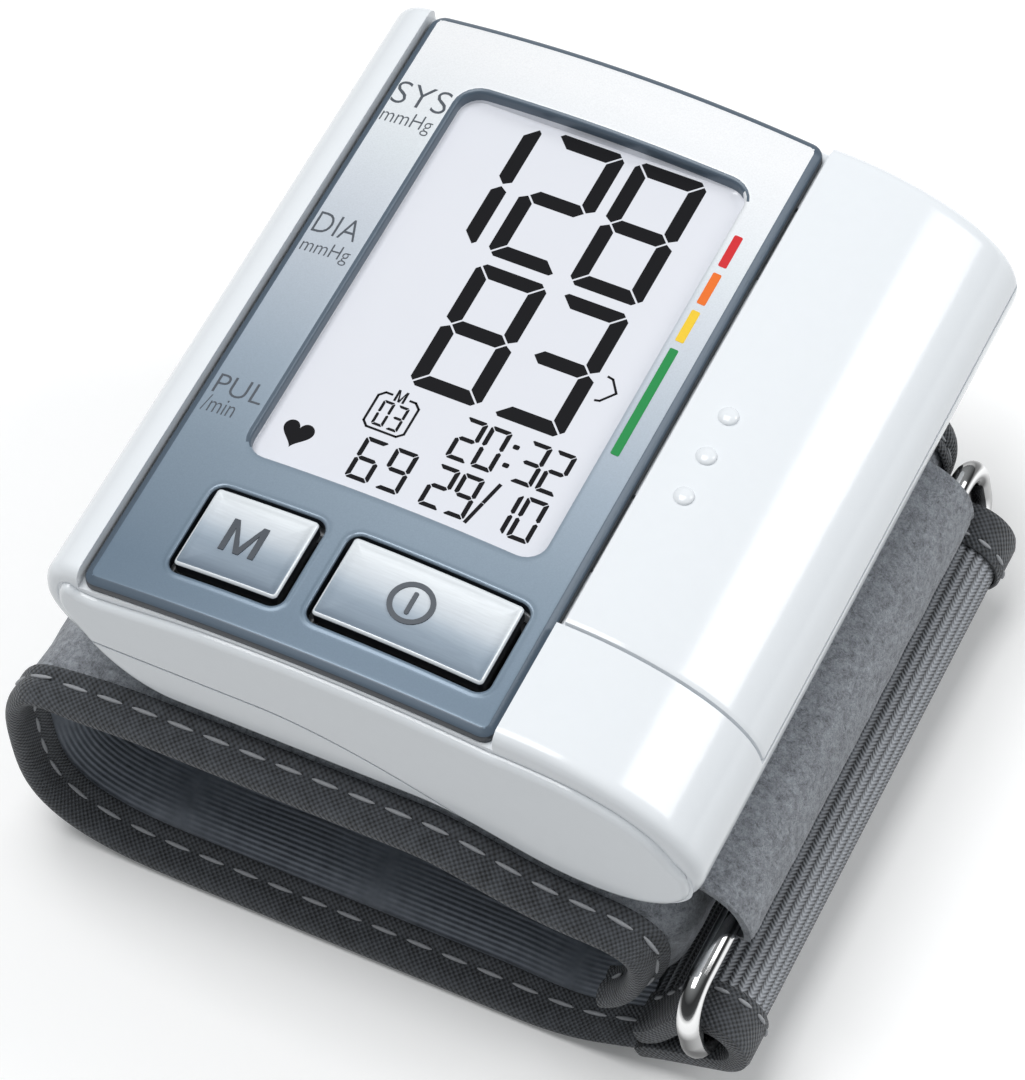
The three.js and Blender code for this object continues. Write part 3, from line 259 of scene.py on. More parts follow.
def shown(name, data):
    """A new object in the scene that holds some data."""
    holder = bpy.data.objects.new(name, data)
    bpy.context.scene.collection.objects.link(holder)
    return holder


def new_piece(name, points, faces):
    """A mesh object from points in the device's own millimetres, with its faces turned outwards."""
    mesh = bpy.data.meshes.new(name)
    mesh.from_pydata([home + Vector(point) * MM for point in points], [], faces)
    shell = bmesh.new()
    shell.from_mesh(mesh)
    bmesh.ops.recalc_face_normals(shell, faces=shell.faces)
    shell.to_mesh(mesh)
    shell.free()
    return shown(name, mesh)


def distances(points):
    """How far along a line each of its points lies."""
    result = [0.0]
    for before, after in zip(points, points[1:]):
        result.append(result[-1] + (Vector(after) - Vector(before)).length)
    return result


def loft(name, rings, joined=False):
    """A piece through rings of equal length, capped at both ends or joined end to start.
    Its UV map holds millimetres: along the rings' path in u, and round each ring in v."""
    count = len(rings[0])
    points = [point for ring in rings for point in ring]
    faces = []
    for turn in range(len(rings) if joined else len(rings) - 1):
        first = turn * count
        second = (turn + 1) % len(rings) * count
        for step in range(count):
            ahead = (step + 1) % count
            faces.append((first + step, first + ahead, second + ahead, second + step))
    if not joined:
        faces.append(tuple(range(count)))
        faces.append(tuple(range(len(points) - count, len(points))))
    along = distances([ring[0] for ring in rings])
    round_ring = distances(rings[len(rings) // 2])
    piece = new_piece(name, points, faces)
    layer = piece.data.uv_layers.new(name="UVMap")
    for corner in piece.data.loops:
        ring, step = divmod(corner.vertex_index, count)
        layer.data[corner.index].uv = (along[ring], round_ring[step])
    return piece


def prism(name, section, front, back):
    """A closed section of (x, z) points carried along the wrist from front to back."""
    return loft(name, [[(point[0], y, point[1]) for point in section] for y in (front, back)])


def bake(piece):
    """Keeps what a piece's modifiers make as its plain mesh."""
    bpy.context.view_layer.update()
    shaped = piece.evaluated_get(bpy.context.evaluated_depsgraph_get())
    mesh = bpy.data.meshes.new_from_object(shaped)
    piece.modifiers.clear()
    piece.data = mesh


def carve(piece, cutters, operation="DIFFERENCE"):
    """Cuts solids out of a piece, joins them to it or keeps what lies inside them, and removes them."""
    for cutter in cutters:
        cut = piece.modifiers.new("cut", "BOOLEAN")
        cut.operation = operation
        cut.solver = "MANIFOLD"
        cut.object = cutter
    bake(piece)
    for cutter in cutters:
        bpy.data.objects.remove(cutter)


def smooth(piece, degrees=35):
    """Smooth shading, broken at edges sharper than an angle."""
    for polygon in piece.data.polygons:
        polygon.use_smooth = True
    piece.data.set_sharp_from_angle(angle=math.radians(degrees))


def wear(piece, material):
    """Gives a piece one material."""
    piece.data.materials.clear()
    piece.data.materials.append(material)


outline = case_outline()
outline_inward = inward_normals(outline)


def inset_section(depth):
    """The case's section moved inwards by a depth that may differ from point to point."""
    moved = []
    for point, normal in zip(outline, outline_inward):
        amount = depth(point) if callable(depth) else depth
        moved.append(point + normal * amount)
    return moved


def pad_inset(point):
    """How far the end pad's edge lies inside the case's section."""
    low = 0.25 + 0.75 * blend_between(UNDERSIDE, UNDERSIDE / 2, point.y)
    band = 1.0 - 0.55 * blend_between(14, 26, point.x) + 0.25 * (1 - blend_between(-24, -15, point.x))
    band *= blend_between(-HALF_WIDTH + 1.1, -HALF_WIDTH + 5.1, point.x)
    band *= blend_between(UNDERSIDE / 2 - 3, UNDERSIDE / 2, point.y)
    return PAD_INSET * low + band


def case_body(name):
    """The closed outer body of both halves, with rounded ends, a soft groove and a raised pad at each end."""
    profile = [(0, 0, FILLET_START)]
    for turn in QUARTER:
        profile.append((0, END_FILLET * (1 - math.cos(turn)), BODY_END - END_FILLET * (1 - math.sin(turn))))
    profile += [(1, -0.3, BODY_END), (1, -0.2, BODY_END - 0.1), (1, -0.06, BODY_END - 0.1)]
    for turn in QUARTER:
        profile.append((1, PAD_EDGE * (1 - math.cos(turn)), BODY_END + PAD_PROUD * math.sin(turn)))
    profile.append((1, 0.8, PAD_END))
    rings = []
    for side in (-1, 1):
        for share, depth, y in (reversed(profile) if side < 0 else profile):
            section = inset_section(lambda point: share * max(pad_inset(point), 0.4 * END_FILLET) + depth)
            rings.append([(point.x, side * y, point.y) for point in section])
    return loft(name, rings)


def below_seam(name, gap):
    """Everything below the parting line, as a cutter."""
    level = gap - SEAM_DEPTH
    section = [Vector((-CUT_SIDE, CUT_FOOT)), Vector((-CUT_SIDE, level + 0.7)),
               Vector((-HALF_WIDTH + 4, level))]
    end = (UNDERSIDE_RIGHT + 8, UNDERSIDE + gap - 1.3)
    section += bezier((UNDERSIDE_RIGHT - 14, level), (UNDERSIDE_RIGHT - 8.6, level - 0.3),
                      (UNDERSIDE_RIGHT - 3, level - 1.7), end, 24)
    section += [Vector(end), Vector((end[0], CUT_FOOT))]
    return prism(name, section, -CUT_END, CUT_END)


def cavity(name):
    """The hollow inside the case, below the deck and, beside the deck, up to the lid."""
    section = []
    for point in inset_section(WALL):
        top = DECK_BOTTOM if point.x < RECESS_RIGHT + WALL else point.y
        section.append(Vector((point.x, min(point.y, top))))
    return prism(name, section, WALL - BODY_END, BODY_END - WALL)


def seat(name, ends):
    """The room above the panel's seat: crowned at the case's ends, and flat over the deck between them."""
    top = RIM + 3 * PANEL_CROWN
    if ends:
        steps = [RECESS_LEFT + (RECESS_RIGHT - RECESS_LEFT) * step / 40 for step in range(41)]
        section = [Vector((x, DECK_TOP + crown_at(x))) for x in steps]
        section += [Vector((RECESS_RIGHT, top)), Vector((RECESS_LEFT, top))]
        return prism(name, section, -CUT_END, CUT_END)
    section = [(RECESS_LEFT, DECK_TOP), (RECESS_RIGHT, DECK_TOP), (RECESS_RIGHT, top), (RECESS_LEFT, top)]
    return prism(name, section, WALL - BODY_END, BODY_END - WALL)


def lid_room(name):
    """The wall that the battery lid takes the place of."""
    inner = [point for point in inset_section(WALL + PARTING_GAP)
             if point.x > RECESS_RIGHT and point.y > -LID_DROP]
    section = [Vector((RECESS_RIGHT, inner[-1].y)), Vector((RECESS_RIGHT, CUT_TOP)),
               Vector((CUT_SIDE, CUT_TOP)), Vector((CUT_SIDE, -LID_DROP)), Vector((inner[0].x, -LID_DROP))]
    return prism(name, section + inner, LID_FRONT, CUT_END)


def bay_wall(name, front, back):
    """A wall across the battery bay, from its inner side to the case's right side."""
    top = DECK_BOTTOM + WALL / 2
    chain = [point for point in inset_section(WALL / 2) if point.x > BAY_LEFT and point.y < top]
    section = chain + [Vector((chain[-1].x, top)), Vector((BAY_LEFT, top)), Vector((BAY_LEFT, chain[0].y))]
    return prism(name, section, front, back)


upper_case = case_body("upper_case_shell")
carve(upper_case, [below_seam("seam_cut", PARTING_GAP), cavity("cavity_cut"), seat("seat_cut", False),
                   seat("ledge_cut", True)])
carve(upper_case, [bay_wall("bay_front", BAY_FRONT - WALL, BAY_FRONT - 0.1),
                   bay_wall("bay_back", BAY_BACK + 0.1, BODY_END - WALL / 2)], "UNION")
carve(upper_case, [lid_room("lid_cut")])
wear(upper_case, white_plastic)
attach(upper_case, "housing")
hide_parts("upper_case")

lower_case = case_body("lower_case_shell")
carve(lower_case, [below_seam("seam_keep", 0)], "INTERSECT")
carve(lower_case, [cavity("cavity_cut")])
partition = [(BAY_LEFT - WALL, UNDERSIDE + WALL / 2), (BAY_LEFT, UNDERSIDE + WALL / 2), (BAY_LEFT, -6.3),
             (BAY_LEFT - WALL, -6.3)]
carve(lower_case, [prism("partition", partition, BAY_FRONT, BAY_BACK)], "UNION")
wear(lower_case, white_plastic)
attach(lower_case, "housing")
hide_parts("lower_case")

# Case screws: four steel screws, driven from below into pillars of the upper half.
# The two on the left sit deeper than the others, in recesses of the case's rounded edge.
SCREW_RAISE = 1.5
SCREW_HEAD = 1.5
SCREW_RECESS = SCREW_HEAD + 0.3
SCREW_SHANK = 0.8
SCREW_HEAD_HEIGHT = 1.1


def turned_rod(name, centre, profile):
    """A round solid about an upright axis through (radius, height) steps."""
    rings = []
    for radius, height in profile:
        ring = []
        for step in range(24):
            turn = 2 * math.pi * step / 24
            ring.append((centre.x + radius * math.cos(turn), centre.y + radius * math.sin(turn), height))
        rings.append(ring)
    return loft(name, rings)


for number in (1, 2):
    screw_low, screw_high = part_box(f"case_screw_{number}")
    middle = ((screw_low + screw_high) / 2 - home) / MM
    foot = (screw_low.z - home.z) / MM + SCREW_RAISE
    top = (screw_high.z - home.z) / MM
    head_top = foot + SCREW_HEAD_HEIGHT
    carve(lower_case, [turned_rod("recess", middle, [(SCREW_RECESS, foot - 5), (SCREW_RECESS, head_top)])])
    screw = turned_rod(f"left_case_screw_{number}", middle, [
        (SCREW_HEAD - 0.3, foot), (SCREW_HEAD, foot + 0.25), (SCREW_HEAD, head_top), (SCREW_SHANK, head_top),
        (SCREW_SHANK, top),
    ])
    smooth(screw)
    wear(screw, finishes["steel"])
    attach(screw, "housing")
    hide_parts(f"case_screw_{number}")
smooth(lower_case)

# Battery lid: the white cover that makes up the right shoulder, over the two cells.
# It is moulded with three grip bumps for a thumb and slides off sideways; two tongues hold it in the deck.
LID_THICKNESS = 1.4
GRIP_X = RECESS_RIGHT + 4.2
GRIP_Y = -1.0
GRIP_PITCH = 4.5
GRIP_RADIUS = 0.95


def lid_section(shrink):
    """The lid's closed section, with its outer face moved inwards by a shrink."""
    outer = []
    inner = []
    for point, normal in zip(outline, outline_inward):
        if point.x > RECESS_RIGHT + PANEL_GAP and point.y > PARTING_GAP - LID_DROP:
            outer.append(point + normal * shrink)
            inner.append(point + normal * LID_THICKNESS)
    return outer + inner[::-1]


lid_rings = []
lid_profile = [(0.25, LID_FRONT + PARTING_GAP), (0.07, LID_FRONT + PARTING_GAP + 0.07),
               (0, LID_FRONT + PARTING_GAP + 0.25), (0, LID_FRONT + PARTING_GAP + 0.6), (0, FILLET_START)]
for turn in QUARTER:
    lid_profile.append((END_FILLET * (1 - math.cos(turn)), BODY_END - END_FILLET * (1 - math.sin(turn))))
for shrink, y in lid_profile:
    lid_rings.append([(point.x, y, point.y) for point in lid_section(shrink)])
battery_lid = loft("battery_lid_cover", lid_rings)
TONGUE_TIP = RECESS_RIGHT - 1.6
TONGUE_HALF = 4
TONGUE_ROOM = 0.3
TONGUE_PLACES = (BAY_FRONT + 8, BAY_BACK - 8)
tongue_section = [(RECESS_RIGHT + 1.6, -2.5), (RECESS_RIGHT + 1.6, -0.2), (RECESS_RIGHT + 0.4, -0.2),
                  (RECESS_RIGHT + 0.4, -1.5), (TONGUE_TIP, -1.5), (TONGUE_TIP, -2.5)]
slot_section = [(TONGUE_TIP - TONGUE_ROOM, -3), (RECESS_RIGHT + 2, -3), (RECESS_RIGHT + 2, -1.1),
                (TONGUE_TIP - TONGUE_ROOM, -1.1)]
tongues = [prism("tongue", tongue_section, y - TONGUE_HALF, y + TONGUE_HALF) for y in TONGUE_PLACES]
carve(battery_lid, tongues, "UNION")
slot_half = TONGUE_HALF + TONGUE_ROOM
slots = [prism("slot", slot_section, y - slot_half, y + slot_half) for y in TONGUE_PLACES]
carve(upper_case, slots)
smooth(battery_lid)
wear(battery_lid, white_plastic)
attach(battery_lid, "lid")
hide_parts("battery_lid")


def grip_row_tree():
    """Geometry nodes: a straight row of flattened bumps."""
    inputs = [("Count", "Int"), ("Start", "Vector"), ("Pitch", "Vector"), ("Radius", "Float"),
              ("Flatness", "Vector"), ("Material", "Material")]
    outputs = [("Geometry", "Geometry")]
    tree, given, result, input_keys = new_tree("grip_row", "GeometryNodeTree", inputs, outputs)
    row = add_node(tree, "GeometryNodeMeshLine")
    bump = add_node(tree, "GeometryNodeMeshUVSphere", {"Segments": 32, "Rings": 16})
    place = add_node(tree, "GeometryNodeInstanceOnPoints")
    real = add_node(tree, "GeometryNodeRealizeInstances")
    paint = add_node(tree, "GeometryNodeSetMaterial")
    join(tree, (given, "Count", row, "Count"), (given, "Start", row, "Start Location"),
         (given, "Pitch", row, "Offset"), (given, "Radius", bump, "Radius"), (row, "Mesh", place, "Points"),
         (bump, "Mesh", place, "Instance"), (given, "Flatness", place, "Scale"),
         (place, "Instances", real, "Geometry"), (real, "Geometry", paint, "Geometry"),
         (given, "Material", paint, "Material"), (paint, "Geometry", result, "Geometry"))
    return tree, input_keys


def grown(piece, tree, input_keys, values):
    """Runs a geometry node tree on a piece with named values, and keeps the result as its plain mesh."""
    grow = piece.modifiers.new("grow", "NODES")
    grow.node_group = tree
    for name, value in values.items():
        grow[input_keys[name]] = value
    bake(piece)


lid_points = [point for point in outline if point.y > -LID_DROP]
shoulder = min(lid_points, key=lambda point: abs(point.x - GRIP_X))
grip_bumps = new_piece("lid_grip_bumps", [(0, 0, 0)], [])
grip_tree, grip_keys = grip_row_tree()
grown(grip_bumps, grip_tree, grip_keys, {
    "Count": 3,
    "Start": home + Vector((GRIP_X, GRIP_Y - GRIP_PITCH, shoulder.y - 0.05)) * MM,
    "Pitch": (0, GRIP_PITCH * MM, 0),
    "Radius": GRIP_RADIUS * MM,
    "Flatness": (1, 1, 0.45),
    "Material": white_plastic,
})
smooth(grip_bumps)
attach(grip_bumps, "lid")

# Front panel: a crowned plate in silver-blue metallic paint, glued into the seat, lightening from the front
# to the back as a painted reflection. It has a rounded edge, an opening for the display and a rimmed well for
# each key; the edge bevel, some walls of the opening and the deep walls are painted dark as shade.
PANEL_BOW = 0.15
PANEL_END = BODY_END - 0.15
SIDE_SHADE_BAND = 0.9
END_SHADE_BAND = 0.75
DISPLAY_CORNER = 2.0
KEY_CORNER = 0.5
KEY_GAP = 0.7
WINDOW_LIP = 0.5
display_low, display_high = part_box("display_window")
display = [(display_low.x - home.x) / MM + WINDOW_LIP, (display_high.x - home.x) / MM - WINDOW_LIP,
           (display_low.y - home.y) / MM + WINDOW_LIP, (display_high.y - home.y) / MM - WINDOW_LIP]
SOLID_FLANGE = 1.2
key_boxes = {name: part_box(f"{name}_button") for name in ("memory", "start")}
keys = {}
for name, (low, high) in key_boxes.items():
    keys[name] = [(low.x - home.x) / MM + SOLID_FLANGE, (high.x - home.x) / MM - SOLID_FLANGE,
                  (low.y - home.y) / MM, (high.y - home.y) / MM - SOLID_FLANGE]


def rounded_loop(box, corner, spread=0.0, steps=6):
    """Points round a rectangle with round corners, made larger all round by a spread."""
    left, right, front, back = box[0] - spread, box[1] + spread, box[2] - spread, box[3] + spread
    radius = max(corner + spread, 0.15)
    points = []
    centres = ((right - radius, front + radius, -90), (right - radius, back - radius, 0),
               (left + radius, back - radius, 90), (left + radius, front + radius, 180))
    for x, y, start in centres:
        for step in range(steps + 1):
            turn = math.radians(start + 90 * step / steps)
            points.append(Vector((x + radius * math.cos(turn), y + radius * math.sin(turn))))
    return points


def panel_loop(inset):
    """Points round the panel's outer edge, which bows out a little at both ends."""
    box = [PANEL_LEFT, PANEL_RIGHT, -PANEL_END, PANEL_END]
    points = []
    for point in subdivided(rounded_loop(box, 1.3, -inset), 10):
        share = 2 * (point.x - PANEL_LEFT) / (PANEL_RIGHT - PANEL_LEFT) - 1
        bow = PANEL_BOW * (1 - share * share) * (1 if point.y > 0 else -1)
        points.append(Vector((point.x, point.y + bow * blend_between(28, PANEL_END, abs(point.y)))))
    return points


def subdivided(points, steps):
    """A closed loop of straight sides and round corners, with each straight side cut into steps."""
    result = []
    corner = len(points) // 4
    for index, start in enumerate(points):
        end = points[(index + 1) % len(points)]
        count = steps if index % corner == corner - 1 else 1
        result += [start.lerp(end, step / count) for step in range(count)]
    return result


def at_level(points, z):
    """Points of a flat loop, lifted to a level."""
    return [(point.x, point.y, z) for point in points]


def add_rings(shell, rings):
    """Faces between rings of points in a bmesh, and the edges of the first and the last ring."""
    made = [[shell.verts.new(point) for point in ring] for ring in rings]
    for before, after in zip(made, made[1:]):
        for index in range(len(before)):
            ahead = (index + 1) % len(before)
            shell.faces.new((before[index], before[ahead], after[ahead], after[index]))
    ends = []
    for ring in (made[0], made[-1]):
        ends.append([shell.edges.get((vert, ring[index - 1])) for index, vert in enumerate(ring)])
    return ends


def crowned(shell):
    """Cuts a flat bmesh into narrow strips and lifts it to the panel's crown, still in millimetres."""
    x = math.floor(min(vert.co.x for vert in shell.verts)) + 1
    end = max(vert.co.x for vert in shell.verts)
    while x < end:
        everything = shell.verts[:] + shell.edges[:] + shell.faces[:]
        bmesh.ops.bisect_plane(shell, geom=everything, dist=1e-5, plane_co=(x, 0, 0), plane_no=(1, 0, 0))
        x += 1
    for vert in shell.verts:
        vert.co.z += crown_at(vert.co.x)


def piece_of(name, shell):
    """A mesh object from a bmesh in millimetres, with its faces turned outwards."""
    bmesh.ops.recalc_face_normals(shell, faces=shell.faces)
    for vert in shell.verts:
        vert.co = home + vert.co * MM
    mesh = bpy.data.meshes.new(name)
    shell.to_mesh(mesh)
    shell.free()
    return shown(name, mesh)


def front_panel():
    """The panel as one shell: a rounded outer edge, a turned-in display edge and two rimmed key wells."""
    shell = bmesh.new()
    top_edges = []
    bottom_edges = []

    def add_edge(loop_at, profile):
        bottom, top = add_rings(shell, [at_level(loop_at(spread), z) for spread, z in profile])
        bottom_edges.extend(bottom)
        top_edges.extend(top)

    edge = [(0, -PANEL_THICKNESS), (0, -0.55), (0.04, -0.42), (0.14, -0.32), (0.3, -0.24), (0.62, -0.05),
            (0.74, -0.01), (0.85, 0), (1.05, 0)]
    add_edge(panel_loop, edge)
    opening = [(0, -PANEL_THICKNESS), (0, -0.35), (0.06, -0.18), (0.2, -0.05), (0.45, 0), (0.75, 0)]
    add_edge(lambda spread: rounded_loop(display, DISPLAY_CORNER, spread), opening)
    rim = [(0, -PANEL_THICKNESS), (0, -0.16), (0.06, -0.03), (0.2, 0.06), (0.36, 0.06), (0.5, 0.01),
           (0.65, 0), (0.85, 0)]
    for box in keys.values():
        add_edge(lambda spread: rounded_loop(box, KEY_CORNER, KEY_GAP + spread), rim)
    bmesh.ops.triangle_fill(shell, use_beauty=True, edges=top_edges)
    bmesh.ops.triangle_fill(shell, use_beauty=True, edges=bottom_edges)
    crowned(shell)
    return piece_of("front_panel_plate", shell)


def set_stops(ramp, stops):
    """Gives a colour ramp its stops of a position and a colour."""
    elements = ramp.color_ramp.elements
    while len(elements) < len(stops):
        elements.new(0.5)
    for element, (position, color) in zip(elements, stops):
        element.position = position
        element.color = color


def paint_with_painted_reflection(name, stops, low, high, tilt, roughness, metallic, brushed):
    """A metallic paint whose colour runs from dark at the front to light at the back, a painted reflection of
    a light behind, with a fine flake or a brushed grain.
    """
    material, tree, shader = new_material(name, {"Roughness": roughness, "Metallic": metallic})
    place = add_node(tree, "ShaderNodeTexCoord")
    apart = add_node(tree, "ShaderNodeSeparateXYZ")
    lean = add_node(tree, "ShaderNodeMath", {1: tilt}, operation="MULTIPLY_ADD")
    ends = {"From Min": home.y + low * MM, "From Max": home.y + high * MM}
    run = add_node(tree, "ShaderNodeMapRange", ends)
    ramp = add_node(tree, "ShaderNodeValToRGB")
    set_stops(ramp, stops)
    stretch = add_node(tree, "ShaderNodeMapping", {"Scale": (0.06, 1, 1) if brushed else (1, 1, 1)})
    grain = add_node(tree, "ShaderNodeTexNoise", {"Scale": 5200.0 if brushed else 7000.0, "Detail": 2.0})
    shade = add_node(tree, "ShaderNodeMapRange", {"To Min": 0.9, "To Max": 1.1})
    mixed = add_node(tree, "ShaderNodeVectorMath", operation="SCALE")
    join(tree, (place, "Object", apart, 0), (apart, "X", lean, 0), (apart, "Y", lean, 2),
         (lean, 0, run, "Value"), (run, 0, ramp, 0), (place, "Object", stretch, "Vector"),
         (stretch, 0, grain, "Vector"), (grain, 0, shade, "Value"), (ramp, "Color", mixed, 0),
         (shade, 0, mixed, "Scale"), (mixed, "Vector", shader, "Base Color"))
    return material


# The stops run from slate at the front to near white at the back: a painted reflection of a bright light
# behind the panel.
panel_silver_and_reflection = paint_with_painted_reflection("panel_silver_painted_reflection", [
    (0.076, srgb(112, 130, 147)),
    (0.273, srgb(136, 152, 167)),
    (0.424, srgb(161, 175, 189)),
    (0.56, srgb(187, 197, 208)),
    (0.727, srgb(216, 222, 230)),
    (0.803, srgb(228, 234, 239)),
    (0.879, srgb(239, 243, 247)),
    (1.0, srgb(251, 252, 254)),
], low=-36, high=30, tilt=0.05, roughness=0.32, metallic=0.2, brushed=False)
# Slate and near black, both painted shade on the panel's edges and walls.
panel_edge_shade = grained("panel_edge_painted_shade", srgb(84, 98, 112), 0.35, metallic=0.1, scale=2500)
panel_wall_shade = grained("panel_wall_painted_shade", srgb(40, 46, 54), 0.4)
panel = front_panel()
smooth(panel, 40)
wear(panel, panel_silver_and_reflection)
panel.data.materials.append(panel_edge_shade)
panel.data.materials.append(panel_wall_shade)
# The slate goes on the edge bevel and on the display opening's left and back walls as painted shade; the deep
# side walls away from the display get a darker painted shade.
for polygon in panel.data.polygons:
    centre = (polygon.center - home) / MM
    height = centre.z - crown_at(centre.x)
    from_side = min(centre.x - PANEL_LEFT, PANEL_RIGHT - centre.x)
    across_display = display[0] - 0.4 < centre.x < display[1] + 0.4
    at_display = across_display and display[2] - 0.4 < centre.y < display[3] + 0.4
    in_shade = at_display and polygon.normal.x > polygon.normal.y
    if height < -0.02 and (in_shade or from_side < SIDE_SHADE_BAND or PANEL_END - abs(centre.y) < END_SHADE_BAND):
        polygon.material_index = 1
    if height < -0.3 and abs(polygon.normal.z) < 0.35 and not at_display:
        polygon.material_index = 2
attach(panel, "housing")
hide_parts("front_panel")

# Panel print: the three row labels with their units, and the coloured scale beside the display.
# Both are pad-printed on the paint, so they are thin flat marks that follow the crown.
PRINT_LOW = -0.02
PRINT_HEIGHT = 0.03
LABEL_WEIGHT = -0.012


def flat_text(body, left, right, low, high):
    """Triangles of a line of text, fitted to a box in millimetres."""
    curve = bpy.data.curves.new("text", "FONT")
    curve.body = body
    curve.offset = LABEL_WEIGHT
    curve.resolution_u = 4
    holder = shown("text", curve)
    bpy.context.view_layer.update()
    mesh = bpy.data.meshes.new_from_object(holder.evaluated_get(bpy.context.evaluated_depsgraph_get()))
    xs = [vert.co.x for vert in mesh.vertices]
    ys = [vert.co.y for vert in mesh.vertices]
    places = []
    for vert in mesh.vertices:
        across = (vert.co.x - min(xs)) / (max(xs) - min(xs))
        up = (vert.co.y - min(ys)) / (max(ys) - min(ys))
        places.append(Vector((left + (right - left) * across, low + (high - low) * up)))
    triangles = [[places[index] for index in polygon.vertices] for polygon in mesh.polygons]
    bpy.data.objects.remove(holder)
    bpy.data.curves.remove(curve)
    bpy.data.meshes.remove(mesh)
    return triangles


def raised(name, shapes, low, high, follow_crown):
    """A thin print: flat polygons of (x, y) points given a height, on the crown or level."""
    shell = bmesh.new()
    for shape in shapes:
        verts = [shell.verts.new((point[0], point[1], high)) for point in shape]
        shell.faces.new(verts)
    bmesh.ops.remove_doubles(shell, verts=shell.verts, dist=1e-5)
    if follow_crown:
        crowned(shell)
    walls = bmesh.ops.extrude_face_region(shell, geom=shell.faces[:])
    for item in walls["geom"]:
        if isinstance(item, bmesh.types.BMVert):
            item.co.z += low - high
    return piece_of(name, shell)


labels = (
    ("SYS", -26.2, -20.75, 22.75, 25.35),
    ("mmHg", -26.1, -21.0, 20.0, 22.1),
    ("DIA", -25.95, -21.6, 6.95, 9.25),
    ("mmHg", -25.95, -21.15, 4.2, 6.15),
    ("PUL", -25.8, -21.0, -12.05, -10.0),
    ("/min", -25.85, -22.75, -14.1, -12.35),
)
label_shapes = []
for label in labels:
    label_shapes += flat_text(*label)
panel_labels = raised("panel_labels", label_shapes, PRINT_LOW, PRINT_HEIGHT, True)
label_ink = grained("label_ink", srgb(78, 84, 92), 0.5, scale=2500)
wear(panel_labels, label_ink)
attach(panel_labels, "housing")

SCALE_LEFT = 8.95
SCALE_WIDTH = 0.8
scale_marks = {
    "red": (17.7, 21.35, srgb(208, 20, 32)),
    "orange": (13.3, 16.9, srgb(234, 110, 16)),
    "yellow": (8.9, 12.5, srgb(240, 200, 40)),
    "green": (-4.1, 8.05, srgb(0, 136, 64)),
}
for name, (low, high, color) in scale_marks.items():
    corners = rounded_loop([SCALE_LEFT, SCALE_LEFT + SCALE_WIDTH, low, high], 0.1)
    mark = raised(f"scale_{name}", [corners], PRINT_LOW, PRINT_HEIGHT, True)
    wear(mark, grained(f"ink_{name}", color, 0.6, scale=2500))
    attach(mark, "housing")

# Display: a pale moulded pane behind the panel's opening, in a border that closes the gap to the panel.
# Dark segments on it show a reading, the time, the date and the memory place.
WINDOW_TOP = (display_high.z - home.z) / MM


def closed_rings(rings):
    """A bmesh through rings of points, with a face over the first and the last ring."""
    shell = bmesh.new()
    for edges in add_rings(shell, rings):
        bmesh.ops.contextual_create(shell, geom=edges)
    return shell


def display_plate():
    """The window as one shell: a flat pane in a border that rises to the underside of the crowned panel."""

    def edge(spread, level=None):
        points = []
        for point in subdivided(rounded_loop(display, DISPLAY_CORNER, spread), 10):
            border = max(crown_at(point.x) - PANEL_THICKNESS - 0.03, WINDOW_TOP + 0.02)
            points.append((point.x, point.y, border if level is None else level))
        return points

    foot = (display_low.z - home.z) / MM
    rings = [edge(WINDOW_LIP, foot), edge(WINDOW_LIP), edge(0.02), edge(-0.06, WINDOW_TOP),
             edge(-0.8, WINDOW_TOP)]
    return piece_of("display_plate", closed_rings(rings))


plate = display_plate()
smooth(plate)
lcd_pale = grained("lcd_pale", srgb(226, 228, 235), 0.12, scale=300, contrast=0.02)
wear(plate, lcd_pale)
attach(plate, "housing")
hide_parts("display_window")

LIT = {"0": "abcdef", "1": "bc", "2": "abged", "3": "abgcd", "6": "acdefg", "8": "abcdefg", "9": "abcdfg"}


def digit(character, left, right, low, high, stroke, gap):
    """The lit segments of one seven-segment digit, with mitred ends and cut outer corners."""
    middle = (low + high) / 2
    half = stroke / 2
    cut = stroke * 0.45
    nip = gap / 2

    def level(top):
        sign = 1 if top else -1
        y = high if top else low
        return [(left + cut + nip, y), (right - cut - nip, y),
                (right - cut / 2 - nip, y - sign * cut / 2), (right - stroke - nip, y - sign * stroke),
                (left + stroke + nip, y - sign * stroke), (left + cut / 2 + nip, y - sign * cut / 2)]

    def upright(right_side, top):
        sign = -1 if right_side else 1
        x = right if right_side else left
        turn = 1 if top else -1
        y = high if top else low
        return [(x, y - turn * (cut + nip)), (x + sign * cut / 2, y - turn * (cut / 2 + nip)),
                (x + sign * stroke, y - turn * (stroke + nip)),
                (x + sign * stroke, middle + turn * (half + nip)), (x + sign * half, middle + turn * nip),
                (x, middle + turn * (half + nip) * 0.7)]

    bar = [(left + half + nip, middle), (left + stroke + nip, middle + half),
           (right - stroke - nip, middle + half), (right - half - nip, middle),
           (right - stroke - nip, middle - half), (left + stroke + nip, middle - half)]
    segments = {"a": level(True), "d": level(False), "g": bar, "b": upright(True, True),
                "c": upright(True, False), "f": upright(False, True), "e": upright(False, False)}
    return [segments[name] for name in LIT[character]]


def letter_m(left, right, low, high, stroke):
    """A capital M from two legs and two slanting strokes that meet at its foot."""
    middle = (left + right) / 2
    half = stroke / 2
    fork = low + 1.3 * stroke
    notch = high - 1.6 * stroke
    return [
        [(left, low), (left + stroke, low), (left + stroke, high), (left, high)],
        [(right - stroke, low), (right, low), (right, high), (right - stroke, high)],
        [(left + stroke, high), (left + stroke, notch), (middle - half, low), (middle, fork)],
        [(right - stroke, high), (middle, fork), (middle + half, low), (right - stroke, notch)],
        [(middle - half, low), (middle + half, low), (middle, fork)],
    ]


def stroke_line(points, width):
    """Four-cornered strokes along a polyline."""
    shapes = []
    for start, end in zip(points, points[1:]):
        start, end = Vector(start), Vector(end)
        side = Vector((start.y - end.y, end.x - start.x)).normalized() * width / 2
        reach = (end - start).normalized() * width * 0.35
        shapes.append([start - reach + side, start - reach - side, end + reach - side, end + reach + side])
    return shapes


